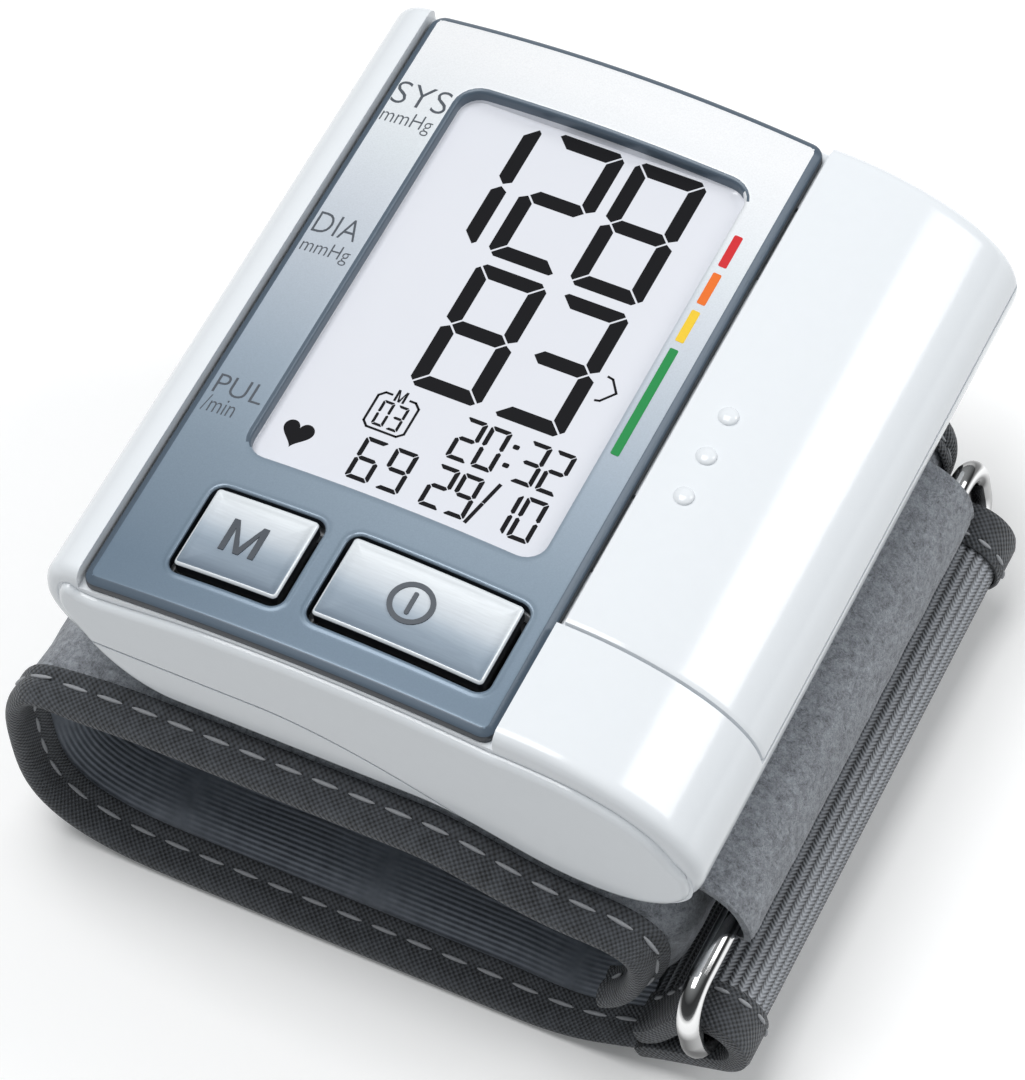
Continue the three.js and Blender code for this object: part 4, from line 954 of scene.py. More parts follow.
LARGE = (1.42, 0.26)
SMALL = (0.43, 0.12)
TINY = (0.26, 0.08)
SLASH = 0.36
FINE = 0.22
HEART_X = -17.15
HEART_Y = -12.5
HEART_WIDE = 0.09
HEART_TALL = 0.097
digit_rows = (
    (11.4, 26.1, LARGE, (("1", -19.5, -12.1), ("2", -10.85, -3.85), ("8", -2.8, 4.25))),
    (-3.9, 10.35, LARGE, (("8", -10.85, -3.9), ("3", -2.8, 4.1))),
    (-9.55, -4.95, SMALL, (("2", -4.35, -2.25), ("0", -1.95, 0.1), ("3", 1.85, 3.95), ("2", 4.25, 6.3))),
    (-14.85, -10.3, SMALL, (("2", -4.35, -2.25), ("9", -1.95, 0.1), ("1", 1.75, 3.85), ("0", 4.15, 6.25))),
    (-14.85, -10.3, SMALL, (("6", -11.4, -9.15), ("9", -8.5, -6.25))),
    (-9.05, -6.3, TINY, (("0", -11.8, -10.65), ("3", -10.4, -9.25))),
)
lcd_marks = []
for low, high, (stroke, gap), row in digit_rows:
    for character, left, right in row:
        lcd_marks += digit(character, left, right, low, high, stroke, gap)
for y in (-6.2, -8.25):
    lcd_marks.append(rounded_loop([0.65, 1.25, y - 0.24, y + 0.24], 0.05))
lcd_marks += stroke_line([(0.35, -14.85), (0.85, -12.7)], SLASH)
lcd_marks += stroke_line([(0.92, -12.4), (1.42, -10.3)], SLASH)
lcd_marks += stroke_line([(5.0, 3.7), (5.5, 3.6), (6.4, 2.36), (5.4, 1.1), (5.0, 1.0)], FINE)
box_line = [(-11.4, -5.57), (-12.0, -5.57), (-12.5, -6.07), (-12.5, -8.93), (-12.0, -9.43), (-9.1, -9.43),
            (-8.57, -8.93), (-8.57, -6.07), (-9.1, -5.57), (-9.65, -5.57)]
lcd_marks += stroke_line(box_line, FINE)
lcd_marks += letter_m(-11.08, -10.07, -6.1, -4.85, FINE)
heart = []
for step in range(48):
    turn = 2 * math.pi * step / 48
    x = 16 * math.sin(turn) ** 3
    y = 13 * math.cos(turn) - 5 * math.cos(2 * turn) - 2 * math.cos(3 * turn) - math.cos(4 * turn)
    heart.append((HEART_X + x * HEART_WIDE, HEART_Y + y * HEART_TALL))
lcd_marks.append(heart)
lcd_segments = raised("lcd_segments", lcd_marks, WINDOW_TOP - 0.02, WINDOW_TOP + 0.02, False)
wear(lcd_segments, grained("lcd_dark", srgb(24, 24, 27), 0.6, scale=1500, shine=0.1))
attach(lcd_segments, "housing")

# Keys: two dished caps in brushed silver, on stems that the deck holds down. Each face lightens towards the
# back as a painted reflection, its rounded edge has a painted highlight and its wall is painted dark as
# shade.
# The left one recalls the memory and has a letter, the right one starts and has a power symbol.
KEY_PROUD = 0.5
KEY_WALL_TOP = 0.22
HIGHLIGHT_BAND = 0.1
WALL_SHADE_BAND = 0.3
KEY_CAP_CORNER = 0.3
KEY_SPREAD = 0.12
FLANGE_REACH = 1.1
# Each key face runs from dark at the front to light at the back: a painted reflection.
key_silver_and_reflection = paint_with_painted_reflection("key_brushed_silver_painted_reflection", [
    (0.0, srgb(110, 123, 137)),
    (0.188, srgb(134, 148, 162)),
    (0.33, srgb(138, 152, 166)),
    (0.47, srgb(163, 175, 187)),
    (0.588, srgb(190, 198, 206)),
    (0.706, srgb(204, 210, 216)),
    (0.87, srgb(218, 223, 227)),
], low=-30, high=-21.5, tilt=0.04, roughness=0.5, metallic=0.1, brushed=True)
# The key's wall is painted near black as shade.
key_wall_shade = grained("key_wall_painted_shade", srgb(22, 24, 28), 0.35)
# A pale band on the key's rounded edge is a painted highlight.
key_edge_highlight = grained("key_edge_painted_highlight", srgb(226, 231, 235), 0.25, metallic=0.1)


def key_cap(name, box):
    """A key: a wall painted dark as shade, a rounded edge with a painted highlight and a dished face, on a
    stem with a flange.
    """
    foot = (key_boxes[name][0].z - home.z) / MM
    low = foot - crown_at((box[0] + box[1]) / 2)
    profile = [(-0.4, low), (-0.4, -1.0), (0, -1.0), (0, KEY_WALL_TOP), (-0.07, 0.4), (-0.22, KEY_PROUD),
               (-0.36, 0.48), (-0.55, 0.38), (-0.85, 0.26), (-1.3, 0.2), (-2.2, 0.15), (-3.2, 0.12)]
    rings = [at_level(rounded_loop(box, KEY_CAP_CORNER, spread + KEY_SPREAD), z) for spread, z in profile]
    shell = closed_rings(rings)
    crowned(shell)
    for vert in shell.verts:
        if vert.co.z - crown_at(vert.co.x) < low + 0.01:
            vert.co.z = foot
    cap = piece_of(f"{name}_key_cap", shell)
    wide = [box[0] - FLANGE_REACH, box[1] + FLANGE_REACH, box[2] + FLANGE_REACH, box[3] + FLANGE_REACH]
    flange = [at_level(rounded_loop(wide, KEY_CORNER), z) for z in (foot, DECK_BOTTOM - 0.15)]
    carve(cap, [loft("flange", flange)], "UNION")
    return cap


for name, box in keys.items():
    cap = key_cap(name, box)
    smooth(cap, 50)
    wear(cap, key_silver_and_reflection)
    cap.data.materials.append(key_wall_shade)
    cap.data.materials.append(key_edge_highlight)
    # A thin band at the edge gets the painted highlight, and the wall below the face gets the dark painted
    # shade.
    for polygon in cap.data.polygons:
        centre = (polygon.center - home) / MM
        height = centre.z - crown_at(centre.x)
        from_edge = min(centre.x - box[0], box[1] - centre.x, centre.y - box[2], box[3] - centre.y)
        if from_edge < HIGHLIGHT_BAND:
            polygon.material_index = 2
        if height < 0 or (height < KEY_WALL_TOP and from_edge <= WALL_SHADE_BAND):
            polygon.material_index = 1
    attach(cap, f"{name}_key")
    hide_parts(f"{name}_button")
    around = rounded_loop(box, KEY_CORNER, KEY_GAP)
    hole = [at_level(around, z) for z in (DECK_BOTTOM - 1, DECK_TOP + 0.5)]
    carve(upper_case, [loft("key_hole", hole)])
smooth(upper_case)

LEGEND_LOW = 0.05
LEGEND_HIGH = 0.24
memory_shapes = letter_m(-17.1, -13.7, -26.85, -23.55, 0.54)
memory_mark = raised("memory_legend", memory_shapes, LEGEND_LOW, LEGEND_HIGH, True)
wear(memory_mark, grained("legend_ink", srgb(70, 76, 84), 0.5, scale=2500))
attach(memory_mark, "memory_key")
POWER_X = 0.6
POWER_Y = -25.15
POWER_OUTER = 2.1
POWER_INNER = 1.62
power_shapes = [rounded_loop([POWER_X - 0.2, POWER_X + 0.2, POWER_Y - 1.15, POWER_Y + 1.15], 0.05)]
for step in range(48):
    turns = [2 * math.pi * (step + side) / 48 for side in (0, 1)]
    inner = [(POWER_X + POWER_INNER * math.cos(t), POWER_Y + POWER_INNER * math.sin(t)) for t in turns]
    outer = [(POWER_X + POWER_OUTER * math.cos(t), POWER_Y + POWER_OUTER * math.sin(t)) for t in turns]
    power_shapes.append([inner[0], outer[0], outer[1], inner[1]])
power_mark = raised("power_legend", power_shapes, LEGEND_LOW, LEGEND_HIGH, True)
wear(power_mark, label_ink)
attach(power_mark, "start_key")

# Cuff outside: grey needle felt, the soft side that the strap's hooks hold on to.
# It is cut as one band, bent round the wrist and sewn to the lining under the edge tapes.
CUFF_OFFSET = 1.05
CUFF_FLOOR = -42.05
CUFF_LEFT = 17.3
CUFF_MIDDLE = -28.75
CUFF_RISE = UNDERSIDE - CUFF_OFFSET - CUFF_MIDDLE
FELT = 0.8
LINING = 0.6
CUFF_DEPTH = 3.05
TAPE_PROUD = 0.75
PRESS = 0.56
PRESS_REACH = 6.5
THIN_SHARE = 0.667
THIN_FROM = 9.9
THIN_TO = 22.4
CUFF_FRONT = -36.65
CUFF_BACK = 24.65
CUFF_END = Vector((25.4, -38.1))


def even(points, pitch):
    """An open line again, with evenly spaced points about a pitch apart."""
    lengths = distances(points)
    count = max(2, round(lengths[-1] / pitch) + 1)
    result = []
    index = 0
    for step in range(count):
        target = lengths[-1] * step / (count - 1)
        while index < len(points) - 2 and lengths[index + 1] < target:
            index += 1
        share = (target - lengths[index]) / max(lengths[index + 1] - lengths[index], 1e-9)
        result.append(points[index].lerp(points[index + 1], share))
    return result


def left_normals(points):
    """Unit normals to the left of travel along an open line."""
    normals = []
    for index in range(len(points)):
        along = points[min(index + 1, len(points) - 1)] - points[max(index - 1, 0)]
        normals.append(Vector((-along.y, along.x)).normalized())
    return normals


def cuff_line():
    """The felt's outer face across the wrist, from the end tucked under the ring to the strap's end."""
    right_side = (28.6, -24.95)
    crest = BULGE - CUFF_OFFSET
    points = bezier((23.7, -35.15), (26.7, -33.35), (28.5, -28.95), right_side, 16)
    points += bezier(right_side, (28.7, -20.95), (25.6, crest), (BULGE_X, crest), 16)
    under = bezier((BULGE_X, BULGE), (BULGE_X - 7, BULGE), (UNDERSIDE_RIGHT + 6.5, UNDERSIDE),
                   (UNDERSIDE_RIGHT, UNDERSIDE), 20)
    under += line((UNDERSIDE_RIGHT, UNDERSIDE), (UNDERSIDE_LEFT, UNDERSIDE), 12)
    points += [point + normal * CUFF_OFFSET for point, normal in zip(under, left_normals(under))]
    for step in range(41):
        turn = step / 40 * math.pi
        power = 2 / 3
        rise = math.copysign(abs(math.cos(turn)) ** power, math.cos(turn))
        x = UNDERSIDE_LEFT - CUFF_LEFT * math.sin(turn) ** power
        points.append(Vector((x, CUFF_MIDDLE + CUFF_RISE * rise)))
    floor_end = (11.9, CUFF_FLOOR)
    slope = (21.836, -39.916)
    points += line((UNDERSIDE_LEFT, CUFF_FLOOR), floor_end, 8)
    points += bezier(floor_end, (15.4, CUFF_FLOOR), (18.272, -41.732), slope, 12)
    points += [Vector(slope), CUFF_END.copy()]
    return even(points, 1.0)


cuff = cuff_line()
cuff_inward = left_normals(cuff)
cuff_turn = min(range(len(cuff)), key=lambda index: cuff[index].x)


def at_depth(index, depth, y):
    """A point of the cuff's section at a depth below the felt's face. The layers thin towards the strap,
    and the front tape presses them together: to the inner face above, to the outer face elsewhere."""
    point = cuff[index]
    if index > cuff_turn and depth > FELT:
        depth -= (depth - FELT) * THIN_SHARE * blend_between(THIN_FROM, THIN_TO, point.x)
    pressed = 1 - blend_between(0.5, PRESS_REACH, y - CUFF_FRONT)
    below = 1 - blend_between(UNDERSIDE - 5, UNDERSIDE - 1.2, point.y)
    if point.x > UNDERSIDE_LEFT:
        below = 1 if index > cuff_turn else 0
    kept = (CUFF_DEPTH + TAPE_PROUD) * (1 - below) - TAPE_PROUD * below
    return point + cuff_inward[index] * (depth + (kept - depth) * PRESS * pressed)


def swept(name, section, first=0, last=None):
    """A piece made by carrying a closed section of (depth, y) points along the cuff."""
    rings = []
    for index in range(first, last if last else len(cuff)):
        ring = []
        for depth, y in section:
            point = at_depth(index, depth, y)
            ring.append((point.x, y, point.y))
        rings.append(ring)
    return loft(name, rings)


def band_section(outer, inner, front, back, steps):
    """A flat closed section between two depths, with points spread from front to back."""
    places = [front + (back - front) * step / steps for step in range(steps + 1)]
    return [(outer, y) for y in places] + [(inner, y) for y in reversed(places)]


def roughen(piece, size, height):
    """Moves a mesh's points a little along their normals, as cloth is never quite even."""
    moves = []
    for vert in piece.data.vertices:
        moves.append(vert.normal * noise.noise(vert.co / (size * MM)) * height * MM)
    for vert, move in zip(piece.data.vertices, moves):
        vert.co += move


def felt_material():
    """Needle felt: mottled greys, short fibres in the bump and a soft sheen."""
    material, tree, shader = new_material("needle_felt", {"Roughness": 0.95, "Sheen Weight": 0.25})
    place = add_node(tree, "ShaderNodeTexCoord")
    mottle = {"Scale": 1150.0, "Detail": 6.0, "Roughness": 0.7, "Distortion": 0.6}
    cloud = add_node(tree, "ShaderNodeTexNoise", mottle)
    tangle = {"Scale": 3400.0, "Detail": 4.0, "Roughness": 0.75, "Distortion": 1.2}
    fibre = add_node(tree, "ShaderNodeTexNoise", tangle)
    both = add_node(tree, "ShaderNodeMath", operation="ADD")
    ramp = add_node(tree, "ShaderNodeValToRGB")
    set_stops(ramp, [(0.36, srgb(88, 91, 96)), (0.66, srgb(182, 187, 195))])
    half = add_node(tree, "ShaderNodeMath", {1: 0.5}, operation="MULTIPLY")
    bump = add_node(tree, "ShaderNodeBump", {"Strength": 0.7, "Distance": 0.25 * MM})
    join(tree, (place, "Object", cloud, "Vector"), (place, "Object", fibre, "Vector"), (cloud, 0, both, 0),
         (fibre, 0, both, 1), (both, 0, half, 0), (half, 0, ramp, 0), (ramp, "Color", shader, "Base Color"),
         (fibre, 0, bump, "Height"), (bump, "Normal", shader, "Normal"))
    return material


felt = felt_material()
cuff_felt = swept("cuff_felt_band", band_section(0, FELT, CUFF_FRONT, CUFF_BACK, 60))
roughen(cuff_felt, size=2.2, height=0.12)
smooth(cuff_felt, 60)
wear(cuff_felt, felt)
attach(cuff_felt, "housing")
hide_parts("cuff_felt")

# Cuff stiffener: a springy black plastic sheet between felt and lining, which keeps the cuff open.
# Four moulded pegs on it snap into the lower case and carry the whole cuff.
STIFFENER = (0.95, 1.55)
PEG_RADIUS = 1.5
stiffener = swept("cuff_stiffener_sheet", band_section(*STIFFENER, CUFF_FRONT + 0.15, CUFF_BACK - 0.15, 40),
                  6, len(cuff) - 6)
pegs = []
for x in (UNDERSIDE_LEFT + 5, UNDERSIDE_RIGHT - 7):
    for y in (-22, 2):
        heights = (UNDERSIDE - CUFF_OFFSET - 1.25, UNDERSIDE + WALL)
        pegs.append(turned_rod("peg", Vector((x, y)), [(PEG_RADIUS, height) for height in heights]))
carve(stiffener, pegs, "UNION")
smooth(stiffener)
wear(stiffener, finishes["black_plastic"])
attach(stiffener, "housing")
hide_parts("cuff_stiffener")

# Cuff lining: slate-blue ribbed nylon, the side that lies on the skin.
# It is woven with fine ribs that run round the wrist, and sewn in under the edge tapes.


def weave_group():
    """Shader group: threads that cross over and under, from a UV map in millimetres."""
    inputs = [("Along Pitch", "Float"), ("Across Pitch", "Float")]
    tree, given, result, _ = new_tree("crossed_threads", "ShaderNodeTree", inputs, [("Height", "Float")])
    chart = add_node(tree, "ShaderNodeUVMap", uv_map="UVMap")
    apart = add_node(tree, "ShaderNodeSeparateXYZ")
    crossed = add_node(tree, "ShaderNodeMath", operation="MULTIPLY")
    level = add_node(tree, "ShaderNodeMath", {1: 0.5, 2: 0.5}, operation="MULTIPLY_ADD")
    for index, (axis, pitch) in enumerate((("Y", "Across Pitch"), ("X", "Along Pitch"))):
        share = add_node(tree, "ShaderNodeMath", operation="DIVIDE")
        turn = add_node(tree, "ShaderNodeMath", {1: 2 * math.pi}, operation="MULTIPLY")
        wave = add_node(tree, "ShaderNodeMath", operation="SINE")
        join(tree, (apart, axis, share, 0), (given, pitch, share, 1), (share, 0, turn, 0), (turn, 0, wave, 0),
             (wave, 0, crossed, index))
    join(tree, (chart, "UV", apart, 0), (crossed, 0, level, 0), (level, 0, result, "Height"))
    return tree


weave_tree = weave_group()


def woven(name, dark, light, along_pitch, across_pitch, relief):
    """A woven cloth between two colours, lighter on the threads' crowns and darker between them as painted
    shade, with its threads in the bump and a fine unevenness.
    """
    material, tree, shader = new_material(name, {"Roughness": 0.62, "Sheen Weight": 0.15})
    pitches = {"Along Pitch": along_pitch, "Across Pitch": across_pitch}
    threads = add_node(tree, "ShaderNodeGroup", pitches, node_tree=weave_tree)
    place = add_node(tree, "ShaderNodeTexCoord")
    uneven = add_node(tree, "ShaderNodeTexNoise", {"Scale": 900.0, "Detail": 3.0})
    shade = add_node(tree, "ShaderNodeMath", {1: 0.5}, operation="MULTIPLY")
    # The thread term is painted shade of the weave's relief; the noise term is a real unevenness.
    tone_and_painted_shade = add_node(tree, "ShaderNodeMath", {1: 0.6}, operation="MULTIPLY_ADD")
    ramp = add_node(tree, "ShaderNodeValToRGB")
    set_stops(ramp, [(0.2, dark), (0.85, light)])
    bump = add_node(tree, "ShaderNodeBump", {"Strength": 0.8, "Distance": relief * MM})
    join(tree, (place, "Object", uneven, "Vector"), (uneven, 0, shade, 0), (threads, "Height", tone_and_painted_shade, 0),
         (shade, 0, tone_and_painted_shade, 2), (tone_and_painted_shade, 0, ramp, 0), (ramp, "Color", shader, "Base Color"),
         (threads, "Height", bump, "Height"), (bump, "Normal", shader, "Normal"))
    return material


lining_cloth = woven("lining_ribbed_nylon", srgb(76, 82, 91), srgb(142, 149, 160), along_pitch=40.0,
                     across_pitch=0.5, relief=0.15)
lining_section = band_section(CUFF_DEPTH - LINING, CUFF_DEPTH, CUFF_FRONT, CUFF_BACK, 40)
cuff_lining = swept("cuff_lining_band", lining_section)
roughen(cuff_lining, size=6, height=0.2)
smooth(cuff_lining, 60)
wear(cuff_lining, lining_cloth)
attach(cuff_lining, "housing")
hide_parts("cuff_lining")

# Edge tapes: black twill tape folded over the cuff's front and rear edge.
# One row of grey thread sews each tape down through all the layers.
TAPE = 0.6
TAPE_REACH = 3.85
TAPE_ROUND = 1.6
SEAM_FROM_EDGE = 2.55
SEAM_PITCH = 3.5
SEAM_STITCH = 2.6
SEAM_SINK = 0.45
THREAD = 0.38


def tape_section(edge, side):
    """The folded tape's section: two flaps and a rounded fold, with a small lip at each end."""
    outer_face = -TAPE_PROUD
    inner_face = CUFF_DEPTH + TAPE_PROUD
    middle = (outer_face + inner_face) / 2
    half = (inner_face - outer_face) / 2
    lip = edge + side * TAPE_REACH
    dip = edge + side * SEAM_FROM_EDGE
    flap = [(0.3, lip), (0.06, lip - side * 0.18), (0, lip - side * 0.6), (0.1, dip + side * 0.4), (0.4, dip),
            (0.1, dip - side * 0.5)]
    outside = [(outer_face + depth, y) for depth, y in flap]
    inside = [(outer_face + TAPE, lip - side * 0.6)]
    for step in range(17):
        turn = math.pi * step / 16
        outside.append((middle - half * math.cos(turn), edge + side * TAPE_ROUND * (1 - math.sin(turn))))
        inside.append((middle - (half - TAPE) * math.cos(turn),
                       edge + side * (TAPE + (TAPE_ROUND - TAPE) * (1 - math.sin(turn)))))
    outside += [(inner_face - depth, y) for depth, y in reversed(flap)]
    inside.append((inner_face - TAPE, lip - side * 0.6))
    return outside + inside[::-1]


tape_cloth = woven("edge_tape_twill", srgb(11, 12, 13), srgb(86, 90, 96), along_pitch=0.56,
                   across_pitch=0.56, relief=0.2)


def stitch_row_tree():
    """Geometry nodes: threads of one length at a pitch along a line, each lying along it."""
    inputs = [("Line", "Geometry"), ("Pitch", "Float"), ("Length", "Float"), ("Thread", "Float"),
              ("Material", "Material")]
    outputs = [("Geometry", "Geometry")]
    tree, given, result, input_keys = new_tree("stitch_row", "GeometryNodeTree", inputs, outputs)
    curve = add_node(tree, "GeometryNodeMeshToCurve")
    spaced = add_node(tree, "GeometryNodeResampleCurve", mode="LENGTH")
    tangent = add_node(tree, "GeometryNodeInputTangent")
    turned = add_node(tree, "FunctionNodeAlignRotationToVector", axis="Z")
    ball = add_node(tree, "GeometryNodeMeshUVSphere", {"Segments": 10, "Rings": 10, "Radius": 0.5})
    size = add_node(tree, "ShaderNodeCombineXYZ")
    place = add_node(tree, "GeometryNodeInstanceOnPoints")
    real = add_node(tree, "GeometryNodeRealizeInstances")
    paint = add_node(tree, "GeometryNodeSetMaterial")
    join(tree, (given, "Line", curve, "Mesh"), (curve, "Curve", spaced, "Curve"),
         (given, "Pitch", spaced, "Length"), (tangent, "Tangent", turned, "Vector"),
         (given, "Thread", size, "X"), (given, "Thread", size, "Y"), (given, "Length", size, "Z"),
         (spaced, "Curve", place, "Points"), (ball, "Mesh", place, "Instance"),
         (turned, "Rotation", place, "Rotation"), (size, "Vector", place, "Scale"),
         (place, "Instances", real, "Geometry"), (real, "Geometry", paint, "Geometry"),
         (given, "Material", paint, "Material"), (paint, "Geometry", result, "Geometry"))
    return tree, input_keys


stitch_tree, stitch_keys = stitch_row_tree()
thread_grey = grained("thread_grey", srgb(160, 162, 166), 0.6, scale=4000, contrast=0.5, relief=0.05)


def stitched(name, points, pitch, length):
    """A row of stitches along a line of points in the device's millimetres."""
    mesh = bpy.data.meshes.new(name)
    mesh.from_pydata([home + Vector(point) * MM for point in points],
                     [(index, index + 1) for index in range(len(points) - 1)], [])
    piece = shown(name, mesh)
    grown(piece, stitch_tree, stitch_keys, {
        "Pitch": pitch * MM,
        "Length": length * MM,
        "Thread": THREAD * MM,
        "Material": thread_grey,
    })
    smooth(piece, 60)
    return piece


for name, edge, side in (("front", CUFF_FRONT - TAPE_PROUD, 1), ("rear", CUFF_BACK + TAPE_PROUD, -1)):
    section = tape_section(edge, side)
    tape = swept(f"{name}_edge_tape", section)
    smooth(tape, 50)
    wear(tape, tape_cloth)
    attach(tape, "housing")
    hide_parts(f"{name}_binding")
    for face, depth in (("outer", -SEAM_SINK), ("inner", CUFF_DEPTH + SEAM_SINK)):
        seam = []
        for index in range(2, len(cuff) - 2):
            y = edge + side * SEAM_FROM_EDGE
            point = at_depth(index, depth, y)
            seam.append((point.x, y, point.y))
        row = stitched(f"{name}_tape_stitches_{face}", seam, SEAM_PITCH, SEAM_STITCH)
        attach(row, "housing")

# Ring: a loop of chromed steel wire that the strap runs through.
# Its ends are welded shut; the felt loop holds its upper bar, the strap its lower bar.
LOWER_BAR = Vector((32.095, -33.398))
UPPER_BAR = Vector((31.095, -24.698))
WIRE = 1.1
RING_HALF = 31.1
RING_MIDDLE = -7.25
RING_BEND = 3.4


def ring_rings():
    """Round sections of the wire along the ring's rounded oblong."""
    up = (UPPER_BAR - LOWER_BAR).normalized()
    half_height = (UPPER_BAR - LOWER_BAR).length / 2
    middle = (UPPER_BAR + LOWER_BAR) / 2
    track = rounded_loop([RING_MIDDLE - RING_HALF, RING_MIDDLE + RING_HALF, -half_height, half_height],
                         RING_BEND, 0, 10)
    track = subdivided(track, 12)
    side = Vector((up.y, 0, -up.x))
    rings = []
    for index, point in enumerate(track):
        ahead = track[(index + 1) % len(track)] - track[index - 1]
        outward = Vector((ahead.y, -ahead.x)).normalized()
        centre = Vector((middle.x + up.x * point.y, point.x, middle.y + up.y * point.y))
        flat = Vector((up.x * outward.y, outward.x, up.y * outward.y))
        ring = []
        for step in range(20):
            turn = 2 * math.pi * step / 20
            ring.append(tuple(centre + (flat * math.cos(turn) + side * math.sin(turn)) * WIRE))
        rings.append(ring)
    return rings


ring = loft("wire_ring", ring_rings(), True)
smooth(ring, 80)


def chrome_with_painted_reflection():
    """Chromed wire: a mirror whose base colour is painted in dark and bright bands by how far each point
    faces up, a painted reflection of a room on round polished metal.
    """
    material, tree, shader = new_material("ring_chrome_painted_reflection", {"Roughness": 0.1, "Metallic": 1.0})
    surface = add_node(tree, "ShaderNodeNewGeometry")
    apart = add_node(tree, "ShaderNodeSeparateXYZ")
    run = add_node(tree, "ShaderNodeMapRange", {"From Min": -1.0})
    ramp = add_node(tree, "ShaderNodeValToRGB")
    reflection_bands = ((0.0, 60), (0.35, 52), (0.5, 90), (0.62, 225), (0.72, 240), (0.8, 110), (0.88, 92), (1.0, 232))
    set_stops(ramp, [(position, srgb(level, level, level)) for position, level in reflection_bands])
    join(tree, (surface, "Normal", apart, 0), (apart, "Z", run, "Value"), (run, 0, ramp, 0),
         (ramp, "Color", shader, "Base Color"))
    return material


chrome_and_reflection = chrome_with_painted_reflection()
wear(ring, chrome_and_reflection)
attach(ring, "ring")
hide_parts("metal_ring")

# Felt loop: a tongue of the same felt, folded over the ring's upper bar and held by a hook patch.
# It is cut with rounded corners, so its ends round off beside the bar.
LOOP = 0.7
LOOP_FRONT = -30.0
LOOP_BACK = 18.0
LOOP_CORNER = 5.0
LOOP_ROLL = 2.5
LOOP_PITCH = 0.5


def loop_line():
    """The felt loop's outer face, from under the case to the end of its fold."""
    side = UPPER_BAR + Vector((LOOP_ROLL, 0))
    points = bezier((26.1, -18.0), (29.6, -17.95), (side.x, side.y + 5), (side.x, side.y), 20)
    for step in range(25):
        turn = -0.62 * math.pi * step / 24
        points.append(UPPER_BAR + Vector((math.cos(turn), math.sin(turn))) * LOOP_ROLL)
    return even(points, LOOP_PITCH)


loop_path = loop_line()
loop_left = left_normals(loop_path)
loop_length = LOOP_PITCH * (len(loop_path) - 1)
loop_rings = []
for step in range(65):
    y = LOOP_FRONT + (LOOP_BACK - LOOP_FRONT) * step / 64
    near_end = min(y - LOOP_FRONT, LOOP_BACK - y)
    short = max(0, LOOP_CORNER - near_end)
    cut = LOOP_CORNER - math.sqrt(max(LOOP_CORNER ** 2 - short ** 2, 0))
    reach = 1 - 0.9 * cut / loop_length
    outer = []
    inner = []
    for index in range(len(loop_path)):
        place = index * reach
        low = min(int(place), len(loop_path) - 2)
        share = place - low
        point = loop_path[low].lerp(loop_path[low + 1], share)
        outer.append((point.x, y, point.y))
        moved = point - loop_left[low] * LOOP
        inner.append((moved.x, y, moved.y))
    loop_rings.append(outer + inner[::-1])
felt_loop = loft("felt_loop_tongue", loop_rings)
roughen(felt_loop, size=2.2, height=0.08)
smooth(felt_loop, 60)
wear(felt_loop, felt)
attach(felt_loop, "housing")
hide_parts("felt_loop")

# Strap: grey ribbed webbing from the cuff's end, round the ring's lower bar and sewn back on itself.
# Its woven ribs run along the wrist, and a black tape binds the roll at each end.
ALONG = Vector((0.891, 0.454))
ACROSS = Vector((-0.454, 0.891))
STRAP = 1.0
STRAP_FRONT = -36.35
STRAP_BACK = 21.85
CAP_REACH = 4.0
CAP_PROUD = 0.55
CAP_PITCH = 2.2
CAP_STITCH = 1.5
ROLL = 3.6
ROLL_START = -63
RIB_PITCH = 1.1
RIB_SWELL = 0.3


def strap_place(along, across):
    """A point beside the cuff's end, along and across its slope."""
    return CUFF_END + ALONG * along + ACROSS * across


def on_roll(degrees):
    """A point of the strap's outer face where it is rolled round the bar."""
    turn = math.radians(degrees)
    return LOWER_BAR + Vector((math.cos(turn), math.sin(turn))) * ROLL


def strap_line():
    """The strap's outer face, from under the cuff's end round the bar and back above it."""
    below = strap_place(1.5, -2.05)
    above = strap_place(0.3, 1.275)
    points = line(strap_place(-1, -2.05), below, 4)
    points += line(below, on_roll(ROLL_START), 8)
    points += [on_roll(ROLL_START + 180 * step / 36) for step in range(36)]
    points += bezier(on_roll(ROLL_START + 180), strap_place(5.1, 4.15), strap_place(2.8, 1.275), above, 16)
    points.append(above)
    return even(points, 0.4)


def strap_swept(name, path, section_at):
    """A piece made by carrying a closed section of (depth, y) points along the strap.
    The section is asked for at each distance along it, so it may change."""
    rings = []
    for point, normal, travel in zip(path, left_normals(path), distances(path)):
        ring = []
        for depth, y in section_at(travel):
            moved = point + normal * depth
            ring.append((moved.x, y, moved.y))
        rings.append(ring)
    return loft(name, rings)


